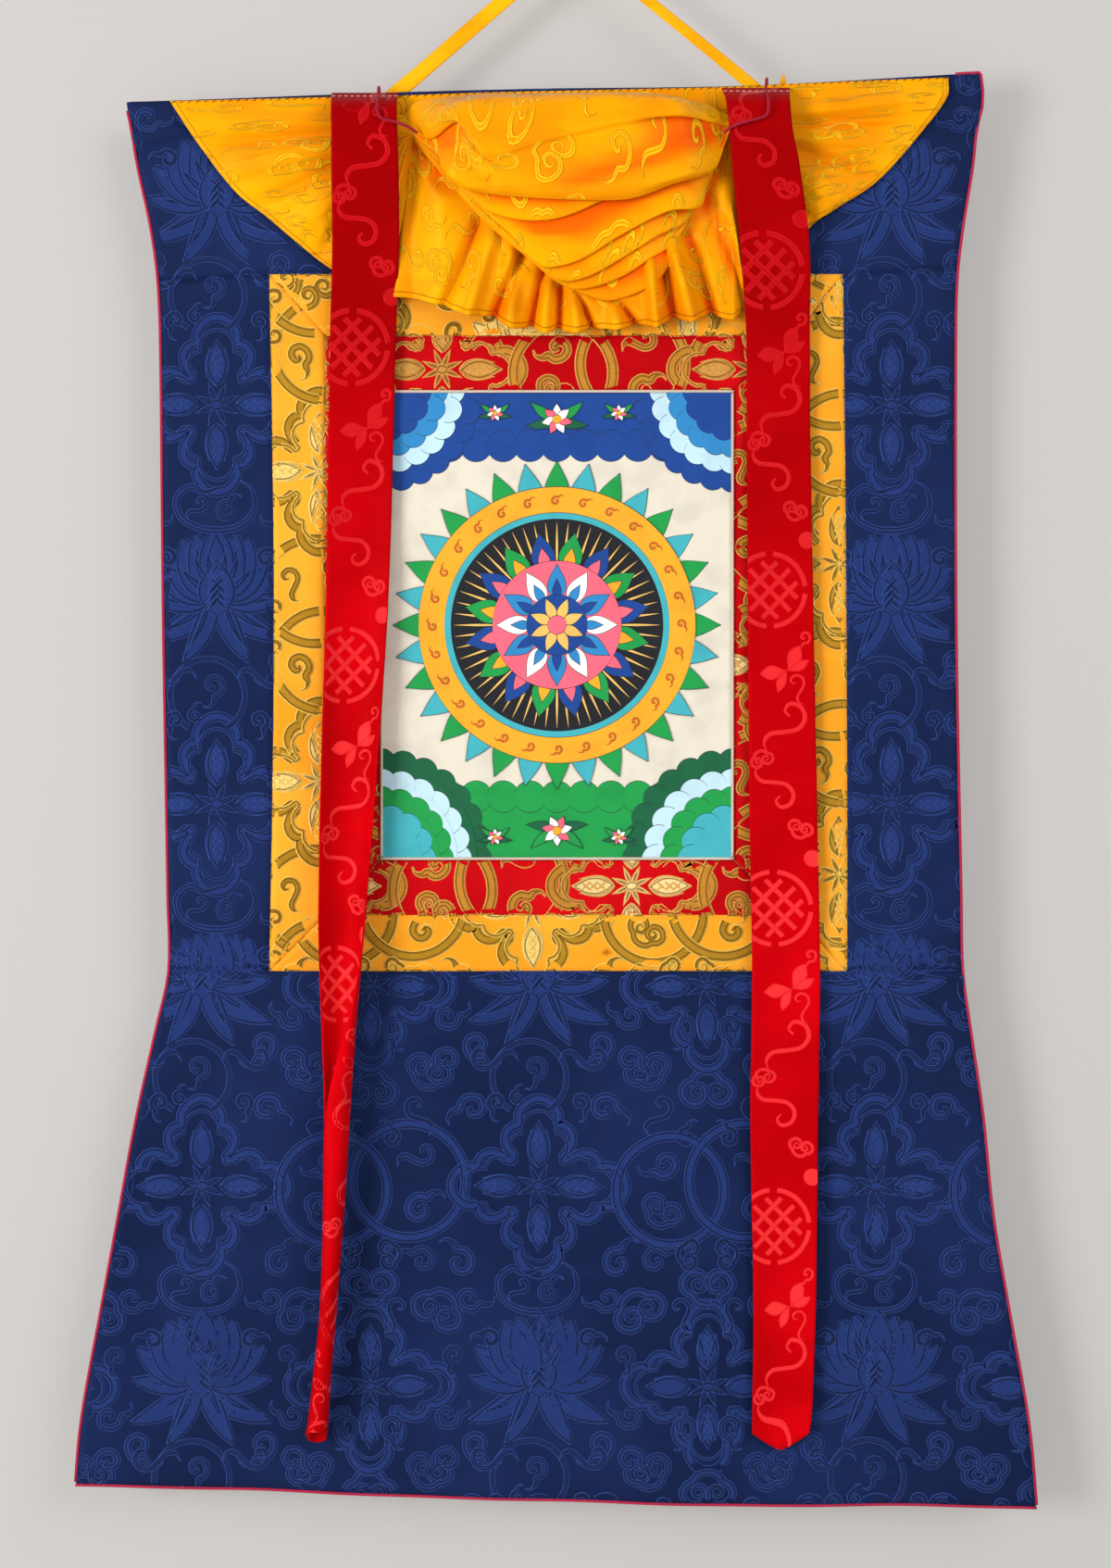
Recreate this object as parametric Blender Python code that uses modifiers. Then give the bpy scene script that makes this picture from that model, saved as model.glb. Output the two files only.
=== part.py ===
"""Thangka scroll painting, hanging by its strap with its silk veil gathered up.

The front faces -Y and the cloth hangs down -Z. The origin is the top of the strap's loop, where a nail
or hook holds it. Every piece of cloth is a sheet: a grid whose points a function places on the hanging
surface, thickened by Solidify. Sizes are in metres.
"""

import math
from collections import namedtuple

import bmesh
import bpy
from mathutils import Vector

# Driving dimensions
LINED_CLOTH = 0.0020
SILK = 0.0010
RIBBON_CLOTH = 0.0012
STRAP_CLOTH = 0.0016
SEAM_GAP = 0.0003
PIPING_GAP = 0.0009
PIPING_RADIUS = 0.0009
EDGING_RADIUS = 0.0009
TIE_RADIUS = 0.0009
RIBBON_WIDTH = 0.0430
RIBBON_ROLL_LIMIT = 0.0180
FOLD_PITCH = 0.0026
NECK_PITCH = 0.0014
DRAPE_CLEARANCE = 0.0036
TOP_EDGE_INSET = 0.0006
SKIRT_REST = -0.0120
SKIRT_REST_AT_NECK = -0.0100
LOWEST_DRAPE = -0.9900

# The frame of the picture: left, right, top and bottom of each nested rectangle
Rectangle = namedtuple("Rectangle", "left right top bottom")
GOLD_OUTER = Rectangle(-0.1985, 0.1755, -0.2172, -0.6680)
RED_OUTER = Rectangle(-0.1620, 0.1410, -0.2568, -0.6318)
PAINTING = Rectangle(-0.1256, 0.1011, -0.2934, -0.5952)
GOLD_SWELL = 0.0030

# The outer edge of the cloth: how far left and right it reaches at each height
OutlineRow = namedtuple("OutlineRow", "z left right")
OUTLINE = (
    OutlineRow(-0.088, -0.2940, 0.2625),
    OutlineRow(-0.106, -0.2920, 0.2640),
    OutlineRow(-0.124, -0.2885, 0.2600),
    OutlineRow(-0.148, -0.2845, 0.2575),
    OutlineRow(-0.185, -0.2765, 0.2515),
    OutlineRow(-0.220, -0.2715, 0.2475),
    OutlineRow(-0.270, -0.2695, 0.2465),
    OutlineRow(-0.450, -0.2675, 0.2470),
    OutlineRow(-0.620, -0.2650, 0.2500),
    OutlineRow(-0.668, -0.2645, 0.2510),
    OutlineRow(-0.705, -0.2725, 0.2560),
    OutlineRow(-0.762, -0.2850, 0.2640),
    OutlineRow(-0.823, -0.2960, 0.2700),
    OutlineRow(-0.884, -0.3070, 0.2800),
    OutlineRow(-0.958, -0.3200, 0.2928),
    OutlineRow(-1.015, -0.3245, 0.2980),
)

# Lines that run across the cloth, as heights at their stations
EdgeRow = namedtuple("EdgeRow", "x z")
TOP_EDGE = (
    EdgeRow(-0.294, -0.1062),
    EdgeRow(-0.155, -0.1014),
    EdgeRow(-0.013, -0.0972),
    EdgeRow(0.120, -0.0952),
    EdgeRow(0.263, -0.0876),
)
BOTTOM_EDGE = (
    EdgeRow(-0.325, -0.9990),
    EdgeRow(-0.110, -1.0074),
    EdgeRow(0.070, -1.0128),
    EdgeRow(0.298, -1.0140),
)
CORNER_WRAP = (
    EdgeRow(-0.0165, -0.0871),
    EdgeRow(-0.0060, -0.0864),
    EdgeRow(-0.0014, -0.0863),
    EdgeRow(0.0000, -0.0880),
)
SEAM_DROP_LEFT = 0.0045
SEAM_RISE_RIGHT = 0.0036

# The veil. Its neck is the narrow place where a tie gathers it beside each ribbon.
NECK_LEFT_X = -0.1020
NECK_RIGHT_X = 0.0965
NECK_BACK = -0.0070
STACK_BACK = -0.0165
SWAG_BULGE = 0.0060
LOBE_STEP = 0.0050
SWAG_STATIONS = (-0.102, -0.078, -0.049, -0.013, 0.023, 0.059, 0.0965)
SwagRow = namedtuple("SwagRow", "name rise bottoms")
SWAGS = (
    SwagRow("front", 0.016, (-0.1285, -0.1640, -0.1746, -0.1764, -0.1758, -0.1674, -0.1290)),
    SwagRow("second", 0.015, (-0.1295, -0.1662, -0.1860, -0.1884, -0.1830, -0.1746, -0.1300)),
    SwagRow("third", 0.014, (-0.1305, -0.1686, -0.1902, -0.2166, -0.2052, -0.1866, -0.1310)),
    SwagRow("fourth", 0.013, (-0.1315, -0.1710, -0.1938, -0.2238, -0.2322, -0.2118, -0.1320)),
)
LOBE_CREASE = (-0.1210, -0.1330, -0.1480, -0.1400, -0.1310, -0.1260, -0.1230)
SKIRT_HEM = (-0.2345, -0.2400, -0.2480, -0.2560, -0.2570, -0.2600, -0.2490)
SKIRT_PLEAT_PITCH = 0.0230
SKIRT_PLEAT_DEPTH = 0.0035
SideRow = namedtuple("SideRow", "share x z")
LEFT_SIDE_EDGE = (
    SideRow(0.00, -0.2650, -0.1063),
    SideRow(0.12, -0.2440, -0.1330),
    SideRow(0.30, -0.2200, -0.1645),
    SideRow(0.50, -0.1900, -0.1890),
    SideRow(0.72, -0.1610, -0.2125),
    SideRow(1.00, -0.1300, -0.2290),
)
RIGHT_SIDE_EDGE = (
    SideRow(0.00, 0.2400, -0.0930),
    SideRow(0.12, 0.2350, -0.1120),
    SideRow(0.30, 0.2080, -0.1440),
    SideRow(0.50, 0.1760, -0.1720),
    SideRow(0.72, 0.1500, -0.1890),
    SideRow(1.00, 0.1090, -0.2370),
)
WING_CREASE = 0.0018
WING_SHARES = (0.0, 0.3, 0.55, 0.74, 0.84, 0.92)
SWAG_COLUMNS = 16

# Ribbons: the middle of the strip, how far it stands off the cloth, its width and how far it is rolled
RibbonRow = namedtuple("RibbonRow", "z x stand wide roll")
LEFT_RIBBON = (
    RibbonRow(-0.1025, -0.1358, 0.0060, 1.00, 0),
    RibbonRow(-0.1065, -0.1357, 0.0115, 0.99, 4),
    RibbonRow(-0.1105, -0.1356, 0.0175, 0.98, 5),
    RibbonRow(-0.1160, -0.1355, 0.0215, 0.98, 6),
    RibbonRow(-0.1290, -0.1352, 0.0228, 0.98, 8),
    RibbonRow(-0.1500, -0.1350, 0.0205, 1.00, 6),
    RibbonRow(-0.2000, -0.1351, 0.0120, 1.00, 6),
    RibbonRow(-0.2500, -0.1370, 0.0065, 0.99, 10),
    RibbonRow(-0.3200, -0.1386, 0.0050, 0.98, 20),
    RibbonRow(-0.4350, -0.1410, 0.0060, 0.98, 70),
    RibbonRow(-0.5790, -0.1473, 0.0080, 1.00, 140),
    RibbonRow(-0.6680, -0.1509, 0.0100, 1.00, 190),
    RibbonRow(-0.7610, -0.1536, 0.0105, 1.00, 290),
    RibbonRow(-0.8110, -0.1548, 0.0110, 0.86, 318),
    RibbonRow(-0.8840, -0.1587, 0.0120, 0.66, 325),
    RibbonRow(-0.9300, -0.1630, 0.0110, 0.72, 325),
    RibbonRow(-0.9700, -0.1665, 0.0100, 0.86, 325),
)
RIGHT_RIBBON = (
    RibbonRow(-0.0990, 0.1158, 0.0060, 1.02, 0),
    RibbonRow(-0.1030, 0.1159, 0.0115, 0.99, 4),
    RibbonRow(-0.1070, 0.1160, 0.0175, 0.96, 5),
    RibbonRow(-0.1130, 0.1163, 0.0215, 0.95, 6),
    RibbonRow(-0.1290, 0.1180, 0.0228, 0.94, 8),
    RibbonRow(-0.1500, 0.1210, 0.0215, 1.00, 6),
    RibbonRow(-0.2000, 0.1275, 0.0130, 1.04, 6),
    RibbonRow(-0.2550, 0.1300, 0.0070, 0.96, 20),
    RibbonRow(-0.3200, 0.1305, 0.0048, 0.96, 20),
    RibbonRow(-0.5790, 0.1338, 0.0060, 1.02, 16),
    RibbonRow(-0.6680, 0.1353, 0.0062, 1.02, 14),
    RibbonRow(-0.7610, 0.1341, 0.0072, 1.02, 20),
    RibbonRow(-0.8840, 0.1344, 0.0068, 0.94, 24),
    RibbonRow(-0.9500, 0.1328, 0.0062, 0.90, 20),
    RibbonRow(-0.9650, 0.1318, 0.0060, 0.86, 16),
)
RIBBON_POINT = 0.0110
RIBBON_COLUMNS = 6
LONGEST_STEP = 0.0450

# The strap: a folded strip whose width lies across its path. The angle turns the strip about Y.
StrapRow = namedtuple("StrapRow", "x z y width turn")
STRAP = (
    StrapRow(-0.1250, -0.1160, 0.0012, 0.0090, 43),
    StrapRow(-0.1224, -0.1050, 0.0008, 0.0098, 43),
    StrapRow(-0.0980, -0.0840, -0.0010, 0.0096, 43),
    StrapRow(-0.0470, -0.0400, -0.0012, 0.0094, 42),
    StrapRow(-0.0170, -0.0145, -0.0008, 0.0078, 41),
    StrapRow(-0.0070, -0.0060, -0.0004, 0.0066, 32),
    StrapRow(0.0000, -0.0033, 0.0000, 0.0060, 0),
    StrapRow(0.0070, -0.0060, -0.0004, 0.0060, -32),
    StrapRow(0.0170, -0.0150, -0.0008, 0.0064, -42),
    StrapRow(0.0480, -0.0405, -0.0012, 0.0066, -40),
    StrapRow(0.0900, -0.0745, -0.0010, 0.0070, -39),
    StrapRow(0.1190, -0.0985, 0.0004, 0.0078, -38),
    StrapRow(0.1250, -0.1060, 0.0010, 0.0088, -24),
    StrapRow(0.1262, -0.1130, 0.0016, 0.0092, -5),
    StrapRow(0.1268, -0.1150, 0.0030, 0.0094, 0),
    StrapRow(0.1290, -0.1110, 0.0043, 0.0096, 8),
    StrapRow(0.1330, -0.0990, 0.0043, 0.0098, 14),
    StrapRow(0.1365, -0.0905, 0.0040, 0.0104, 16),
)

# Ties: their way over the top edge, down the ribbon and round the veil's neck
TieRow = namedtuple("TieRow", "x z stand")
LEFT_TIE = (
    TieRow(-0.1270, -0.1060, -0.0038),
    TieRow(-0.1271, -0.1005, -0.0038),
    TieRow(-0.1272, -0.0980, -0.0008),
    TieRow(-0.1272, -0.0980, 0.0045),
    TieRow(-0.1270, -0.1020, 0.0103),
    TieRow(-0.1269, -0.1065, 0.0165),
    TieRow(-0.1268, -0.1110, 0.0232),
    TieRow(-0.1266, -0.1180, 0.0262),
    TieRow(-0.1230, -0.1230, 0.0265),
    TieRow(-0.1150, -0.1258, 0.0265),
    TieRow(-0.1060, -0.1290, 0.0250),
    TieRow(-0.1015, -0.1318, 0.0225),
)
RIGHT_TIE = (
    TieRow(0.1245, -0.0985, -0.0100),
    TieRow(0.1241, -0.0940, -0.0080),
    TieRow(0.1236, -0.0922, -0.0010),
    TieRow(0.1230, -0.0925, 0.0050),
    TieRow(0.1220, -0.0985, 0.0105),
    TieRow(0.1220, -0.1030, 0.0165),
    TieRow(0.1222, -0.1075, 0.0232),
    TieRow(0.1224, -0.1160, 0.0264),
    TieRow(0.1190, -0.1215, 0.0268),
    TieRow(0.1110, -0.1245, 0.0268),
    TieRow(0.1000, -0.1280, 0.0268),
    TieRow(0.0945, -0.1315, 0.0240),
)


def steady(value):
    """0 below 0, 1 above 1 and a smooth rise between."""
    value = min(max(value, 0.0), 1.0)
    return value * value * (3 - 2 * value)


def mix(a, b, share):
    return a + (b - a) * share


def curve_through(places, values, place):
    """The value at a place, on a smooth curve through a table whose places rise."""
    if place <= places[0]:
        return values[0]
    if place >= places[-1]:
        return values[-1]
    i = max(k for k in range(len(places) - 1) if places[k] <= place)

    def slope(k):
        a, b = max(k - 1, 0), min(k + 1, len(places) - 1)
        return (values[b] - values[a]) / (places[b] - places[a])

    step = places[i + 1] - places[i]
    t = (place - places[i]) / step
    start, end = slope(i) * step, slope(i + 1) * step
    return (
        (2 * t**3 - 3 * t**2 + 1) * values[i]
        + (t**3 - 2 * t**2 + t) * start
        + (3 * t**2 - 2 * t**3) * values[i + 1]
        + (t**3 - t**2) * end
    )


def down_table(rows, field, z):
    """A named column of a table whose rows run down the cloth, at one height."""
    return curve_through([-row.z for row in rows], [getattr(row, field) for row in rows], -z)


def across_table(rows, x):
    return curve_through([row.x for row in rows], [row.z for row in rows], x)


def outline(side, z):
    return down_table(OUTLINE, side, z)


def hang(x, z):
    """How far forward (-Y) the middle of the lined cloth hangs at a place."""
    left, right = outline("left", z), outline("right", z)
    across = (2 * x - left - right) / (right - left)
    gentle = 0.0012 * math.sin(20 * x + 0.7) * math.sin(12 * z)
    lower = steady((-z - 0.69) / 0.12)
    buckle = 0.0016 * math.sin(30 * x + 9 * z + 1.1) + 0.0009 * math.sin(61 * x - 17 * z)
    curl = (0.0016 + 0.0026 * lower) * across**6
    lifted_foot = 0.0030 * steady((-z - 0.93) / 0.08)
    top_hem = 0.0010 * steady((z + 0.135) / 0.03)
    return -0.0040 - gentle - lower * buckle - curl - lifted_foot - top_hem


def top_seam(x):
    """Height of the seam that runs across under the top panel."""
    left = steady((GOLD_OUTER.left - x) / 0.07)
    right = steady((x - GOLD_OUTER.right) / 0.07)
    return GOLD_OUTER.top - SEAM_DROP_LEFT * left + SEAM_RISE_RIGHT * right


def gold_edge(side, z):
    """The gold border's outer edge, which swells a little between its corners."""
    share = (z - GOLD_OUTER.top) / (GOLD_OUTER.bottom - GOLD_OUTER.top)
    swell = GOLD_SWELL * math.sin(math.pi * min(max(share, 0), 1))
    if side == "left":
        return GOLD_OUTER.left + swell
    return mix(GOLD_OUTER.right - 0.0027, GOLD_OUTER.right, share) + swell / 3


def red_edge(side, _z):
    return getattr(RED_OUTER, side)


def material_of(name, colour, roughness):
    material = bpy.data.materials.new(name)
    material.use_nodes = True
    shader = material.node_tree.nodes["Principled BSDF"]
    shader.inputs["Base Color"].default_value = (*colour, 1)
    shader.inputs["Roughness"].default_value = roughness
    shader.inputs["Metallic"].default_value = 0
    material.diffuse_color = (*colour, 1)
    return material


def sheet(name, columns, rows, place, thickness, look, parts):
    """A thickened grid. place gives the middle of the cloth from shares across and down."""
    mesh = bpy.data.meshes.new(name)
    grid = bmesh.new()
    bmesh.ops.create_grid(grid, x_segments=columns, y_segments=rows, size=0.5)
    for vertex in grid.verts:
        vertex.co = place(round(vertex.co.x + 0.5, 6), round(0.5 - vertex.co.y, 6))
    grid.to_mesh(mesh)
    grid.free()
    mesh.shade_smooth()
    piece = bpy.data.objects.new(name, mesh)
    thick = piece.modifiers.new("Cloth thickness", "SOLIDIFY")
    thick.thickness = thickness
    thick.offset = 0
    mesh.materials.append(material_of(name, *look))
    parts.objects.link(piece)
    return piece


def cord(name, points, radius, look, parts):
    """A round cord through the points, with closed ends."""
    curve = bpy.data.curves.new(name, "CURVE")
    curve.dimensions = "3D"
    curve.bevel_depth = radius
    curve.bevel_resolution = 2
    curve.use_fill_caps = True
    line = curve.splines.new("POLY")
    line.points.add(len(points) - 1)
    for point, place in zip(line.points, points):
        point.co = (*place, 1)
    curve.materials.append(material_of(name, *look))
    piece = bpy.data.objects.new(name, curve)
    parts.objects.link(piece)
    return piece


def on_cloth(x, z, stand=0.0):
    return Vector((x, hang(x, z) - stand, z))


def panel_place(left, right, top, bottom):
    """A flat panel between four edges, each a function of height or of width, less half a seam."""
    half = SEAM_GAP / 2

    def place(across, down):
        guess = mix(left(-0.6), right(-0.6), across)
        z = mix(top(guess) - half, bottom(guess) + half, down)
        x = mix(left(z) + half, right(z) - half, across)
        z = mix(top(x) - half, bottom(x) + half, down)
        return on_cloth(x, z)

    return place


def navy_panels(parts):
    look = ((0.012, 0.024, 0.09), 0.5)
    edge = 2 * PIPING_RADIUS + PIPING_GAP

    def outer_left(z):
        return outline("left", z) + edge

    def outer_right(z):
        return outline("right", z) - edge

    def top(x):
        return across_table(TOP_EDGE, x)

    def foot_seam(_x):
        return GOLD_OUTER.bottom

    def foot(x):
        return across_table(BOTTOM_EDGE, x) + edge

    def gold_left(z):
        return gold_edge("left", z)

    def gold_right(z):
        return gold_edge("right", z)

    panels = (
        ("navy_top", 14, 3, (outer_left, outer_right, top, top_seam)),
        ("navy_left", 2, 10, (outer_left, gold_left, top_seam, foot_seam)),
        ("navy_right", 2, 10, (gold_right, outer_right, top_seam, foot_seam)),
        ("navy_bottom", 14, 8, (outer_left, outer_right, foot_seam, foot)),
    )
    for name, columns, rows, edges in panels:
        sheet(name, columns, rows, panel_place(*edges), LINED_CLOTH, look, parts)


def border_strips(prefix, outer, inner, outer_edge, look, parts):
    """Four strips round a rectangle, mitred at the corners. outer_edge bends the outer side edges."""
    half = SEAM_GAP / 2

    def across_strip(outer_z, inner_z, sign):
        def place(across, down):
            share = down if sign > 0 else 1 - down
            z = mix(outer_z - sign * half, inner_z + sign * half, share)
            left = mix(outer_edge("left", z), inner.left, share) + 2 * half
            right = mix(outer_edge("right", z), inner.right, share) - 2 * half
            return on_cloth(mix(left, right, across), z)

        return place

    def side_strip(side, inner_x, sign):
        def place(across, down):
            share = across if sign > 0 else 1 - across
            top = mix(outer.top, inner.top, share) - 2 * half
            bottom = mix(outer.bottom, inner.bottom, share) + 2 * half
            z = mix(top, bottom, down)
            x = mix(outer_edge(side, z) + sign * half, inner_x - sign * half, share)
            return on_cloth(x, z)

        return place

    sheet(f"{prefix}_top", 8, 2, across_strip(outer.top, inner.top, 1), LINED_CLOTH, look, parts)
    sheet(f"{prefix}_bottom", 8, 2, across_strip(outer.bottom, inner.bottom, -1), LINED_CLOTH, look, parts)
    sheet(f"{prefix}_left", 2, 10, side_strip("left", inner.left, 1), LINED_CLOTH, look, parts)
    sheet(f"{prefix}_right", 2, 10, side_strip("right", inner.right, -1), LINED_CLOTH, look, parts)


def painting(parts):
    half = SEAM_GAP / 2

    def place(across, down):
        x = mix(PAINTING.left + half, PAINTING.right - half, across)
        z = mix(PAINTING.top - half, PAINTING.bottom + half, down)
        return on_cloth(x, z)

    sheet("painting", 8, 10, place, LINED_CLOTH, ((0.55, 0.53, 0.47), 0.7), parts)


def painting_edging(parts):
    """A cream cord laid over each side of the painting, butted at the corners."""
    look = ((0.62, 0.55, 0.45), 0.7)
    stand = LINED_CLOTH / 2 + SEAM_GAP + EDGING_RADIUS
    reach = EDGING_RADIUS
    steps = 6
    for name, z in (("top", PAINTING.top), ("bottom", PAINTING.bottom)):
        ends = (PAINTING.left - reach, PAINTING.right + reach)
        points = [on_cloth(mix(*ends, i / steps), z, stand) for i in range(steps + 1)]
        cord(f"painting_edging_{name}", points, EDGING_RADIUS, look, parts)
    short = EDGING_RADIUS + SEAM_GAP
    for name, x in (("left", PAINTING.left), ("right", PAINTING.right)):
        ends = (PAINTING.top - short, PAINTING.bottom + short)
        points = [on_cloth(x, mix(*ends, i / steps), stand) for i in range(steps + 1)]
        cord(f"painting_edging_{name}", points, EDGING_RADIUS, look, parts)


def edge_piping(parts):
    """The crimson line along the sides and the foot. At the top right it turns the corner."""
    look = ((0.42, 0.02, 0.07), 0.6)
    steps = 20
    inset = PIPING_RADIUS

    def foot(x):
        return across_table(BOTTOM_EDGE, x) + inset

    left_top, left_foot = -0.112, foot(outline("left", -1.0)) + 2 * inset + SEAM_GAP
    heights = [mix(left_top, left_foot, i / steps) for i in range(steps + 1)]
    points = [on_cloth(outline("left", z) + inset, z) for z in heights]
    cord("edge_piping_left", points, PIPING_RADIUS, look, parts)

    right_top, right_foot = -0.0925, foot(outline("right", -1.012)) + 2 * inset + SEAM_GAP
    corner_x = outline("right", right_top) - inset
    corner = [on_cloth(corner_x + row.x, row.z) for row in CORNER_WRAP]
    heights = [mix(right_top, right_foot, i / steps) for i in range(steps + 1)]
    points = corner + [on_cloth(outline("right", z) - inset, z) for z in heights]
    cord("edge_piping_right", points, PIPING_RADIUS, look, parts)

    ends = (outline("left", -1.0) + 0.001, outline("right", -1.012) - 0.001)
    widths = [mix(*ends, i / steps) for i in range(steps + 1)]
    points = [on_cloth(x, foot(x)) for x in widths]
    cord("edge_piping_bottom", points, PIPING_RADIUS, look, parts)


def neck_share(x):
    """0 in the middle of the swags and 1 at either neck."""
    middle = (NECK_LEFT_X + NECK_RIGHT_X) / 2
    half = (NECK_RIGHT_X - NECK_LEFT_X) / 2
    return steady((abs(x - middle) / half - 0.25) / 0.75)


def swag_section(x):
    """The veil's section at one width: a list of (y, z) from its top edge down to its hem.

    It runs down the front, then back and forth through the turned-up swags, then down the skirt. Each
    turn is a half circle of three points.
    """
    neck = neck_share(x)
    pitch = mix(FOLD_PITCH, NECK_PITCH, neck)
    turn = pitch / 2
    layers = 2 * len(SWAGS)
    back = mix(STACK_BACK, NECK_BACK, neck)
    front = back - layers * pitch
    bottoms = [curve_through(SWAG_STATIONS, row.bottoms, x) for row in SWAGS]
    top = across_table(TOP_EDGE, x) - TOP_EDGE_INSET
    wall = hang(x, top) - DRAPE_CLEARANCE
    crease = curve_through(SWAG_STATIONS, LOBE_CREASE, x)
    bulge = mix(SWAG_BULGE, 0.0005, neck)
    step = mix(LOBE_STEP, 0.0010, neck)
    first = bottoms[0] + turn
    section = [
        (wall, top),
        (mix(wall, front, mix(0.55, 0.2, neck)), mix(top, crease, mix(0.20, 0.35, neck))),
        (front - bulge, mix(top, crease, mix(0.60, 0.75, neck))),
        (front - bulge - 0.0004, crease + 0.0016),
        (front - bulge + step, crease - 0.0010),
        (front - bulge * 0.8, mix(crease, first, 0.55)),
    ]
    y = front
    for number, row in enumerate(SWAGS):
        low = bottoms[number] + turn
        rise = mix(row.rise, 0.0085, neck)
        section += [(y, low), (y + turn, low - turn), (y + pitch, low)]
        y += pitch
        high = low + rise
        section += [(y, high), (y + turn, high + turn), (y + pitch, high)]
        y += pitch
    hem = curve_through(SWAG_STATIONS, SKIRT_HEM, x)
    skirt_top = section[-1][1]
    pleat = SKIRT_PLEAT_DEPTH * steady((x - NECK_LEFT_X - 0.02) / 0.04)
    wave = pleat * math.sin(2 * math.pi * x / SKIRT_PLEAT_PITCH)
    rest = mix(SKIRT_REST, SKIRT_REST_AT_NECK, neck)
    for share, amount in ((0.35, 0.2), (0.65, 0.6), (1.0, 1.0)):
        section.append((mix(y, rest, steady(share * 1.2)) - wave * amount, mix(skirt_top, hem, share)))
    return section


def veil(parts):
    """One silk cloth: two wings that run to the top corners, and the swags gathered between its necks."""
    middle = [mix(NECK_LEFT_X, NECK_RIGHT_X, i / SWAG_COLUMNS) for i in range(SWAG_COLUMNS + 1)]
    sections = [[Vector((x, y, z)) for y, z in swag_section(x)] for x in middle]
    rows = len(sections[0])

    def side_points(edge):
        shares = [row.share for row in edge]
        points = []
        for row in range(rows):
            share = row / (rows - 1)
            x = curve_through(shares, [point.x for point in edge], share)
            z = curve_through(shares, [point.z for point in edge], share)
            points.append(Vector((x, hang(x, z) - DRAPE_CLEARANCE, z)))
        return points

    def wing(edge, neck):
        """Columns from the wing's side edge to the neck, the neck itself left out.

        The neck's back-and-forth folds open out a short way from it, and its layers lie down there.
        """
        columns = []
        outer = side_points(edge)
        for share in WING_SHARES:
            folded = steady((share - 0.8) / 0.2)
            gathered = steady((share - 0.7) / 0.3)
            column = []
            for row in range(rows):
                down = row / (rows - 1)
                trend = mix(neck[0].z, neck[-1].z, down)
                x = mix(outer[row].x, neck[row].x, share)
                z = mix(outer[row].z, trend, share) + (neck[row].z - trend) * folded
                top = across_table(TOP_EDGE, x) - TOP_EDGE_INSET
                z = min(z, top - 0.0001 * row)
                y = mix(hang(x, z) - DRAPE_CLEARANCE - 0.0004, neck[row].y, gathered)
                if 0 < row < rows - 1:
                    y -= WING_CREASE * math.sin(math.pi * share) * math.sin(row * 2 * math.pi / 9)
                column.append(Vector((x, y, z)))
            columns.append(column)
        return columns

    columns = wing(LEFT_SIDE_EDGE, sections[0]) + sections + wing(RIGHT_SIDE_EDGE, sections[-1])[::-1]
    last_column, last_row = len(columns) - 1, rows - 1

    def place(across, down):
        return columns[round(across * last_column)][round(down * last_row)]

    sheet("veil", last_column, last_row, place, SILK, ((0.85, 0.45, 0.01), 0.4), parts)


def ribbon(name, table, pointed, parts):
    """A strip that hangs in front of the cloth, its sides rolling forward where the table says so."""
    heights = [table[0].z]
    for before, after in zip(table, table[1:]):
        parts_between = math.ceil((before.z - after.z) / LONGEST_STEP)
        heights += [mix(before.z, after.z, (i + 1) / parts_between) for i in range(parts_between)]
    rows = len(heights) - 1

    def place(across, down):
        z = heights[round(down * rows)]
        roll = math.radians(max(down_table(table, "roll", z), 1.0))
        width = RIBBON_WIDTH * down_table(table, "wide", z)
        radius = RIBBON_WIDTH / roll
        angle = (across - 0.5) * roll
        squeeze = width / RIBBON_WIDTH
        x = down_table(table, "x", z) + radius * math.sin(angle) * squeeze
        forward = radius * (1 - math.cos(angle))
        middle_x = down_table(table, "x", z)
        stand = down_table(table, "stand", z) + min(forward, RIBBON_ROLL_LIMIT)
        if pointed and down > 1 - 1e-6:
            z -= RIBBON_POINT * (1 - abs(2 * across - 1))
        return Vector((x, hang(middle_x, max(z, LOWEST_DRAPE)) - stand, z))

    sheet(name, RIBBON_COLUMNS, rows, place, RIBBON_CLOTH, ((0.55, 0.005, 0.012), 0.5), parts)


def hanging_strap(parts):
    rows = []
    for before, after in zip(STRAP, STRAP[1:]):
        rows.append(before)
        if math.hypot(after.x - before.x, after.z - before.z) > LONGEST_STEP:
            rows.append(StrapRow(*(mix(a, b, 0.5) for a, b in zip(before, after))))
    rows.append(STRAP[-1])

    def place(across, down):
        row = rows[round(down * (len(rows) - 1))]
        angle = math.radians(row.turn + 90)
        reach = (0.5 - across) * row.width
        return Vector((row.x + reach * math.cos(angle), row.y, row.z + reach * math.sin(angle)))

    sheet("hanging_strap", 2, len(rows) - 1, place, STRAP_CLOTH, ((0.9, 0.42, 0.01), 0.5), parts)


def ties(parts):
    look = ((0.28, 0.0, 0.03), 0.6)
    for name, table in (("tie_left", LEFT_TIE), ("tie_right", RIGHT_TIE)):
        steps = 2 * (len(table) - 1)
        marks = list(range(len(table)))
        points = []
        for i in range(steps + 1):
            at = i / 2
            x, z, stand = (curve_through(marks, [row[field] for row in table], at) for field in range(3))
            points.append(on_cloth(x, z, stand))
        cord(name, points, TIE_RADIUS, look, parts)


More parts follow.
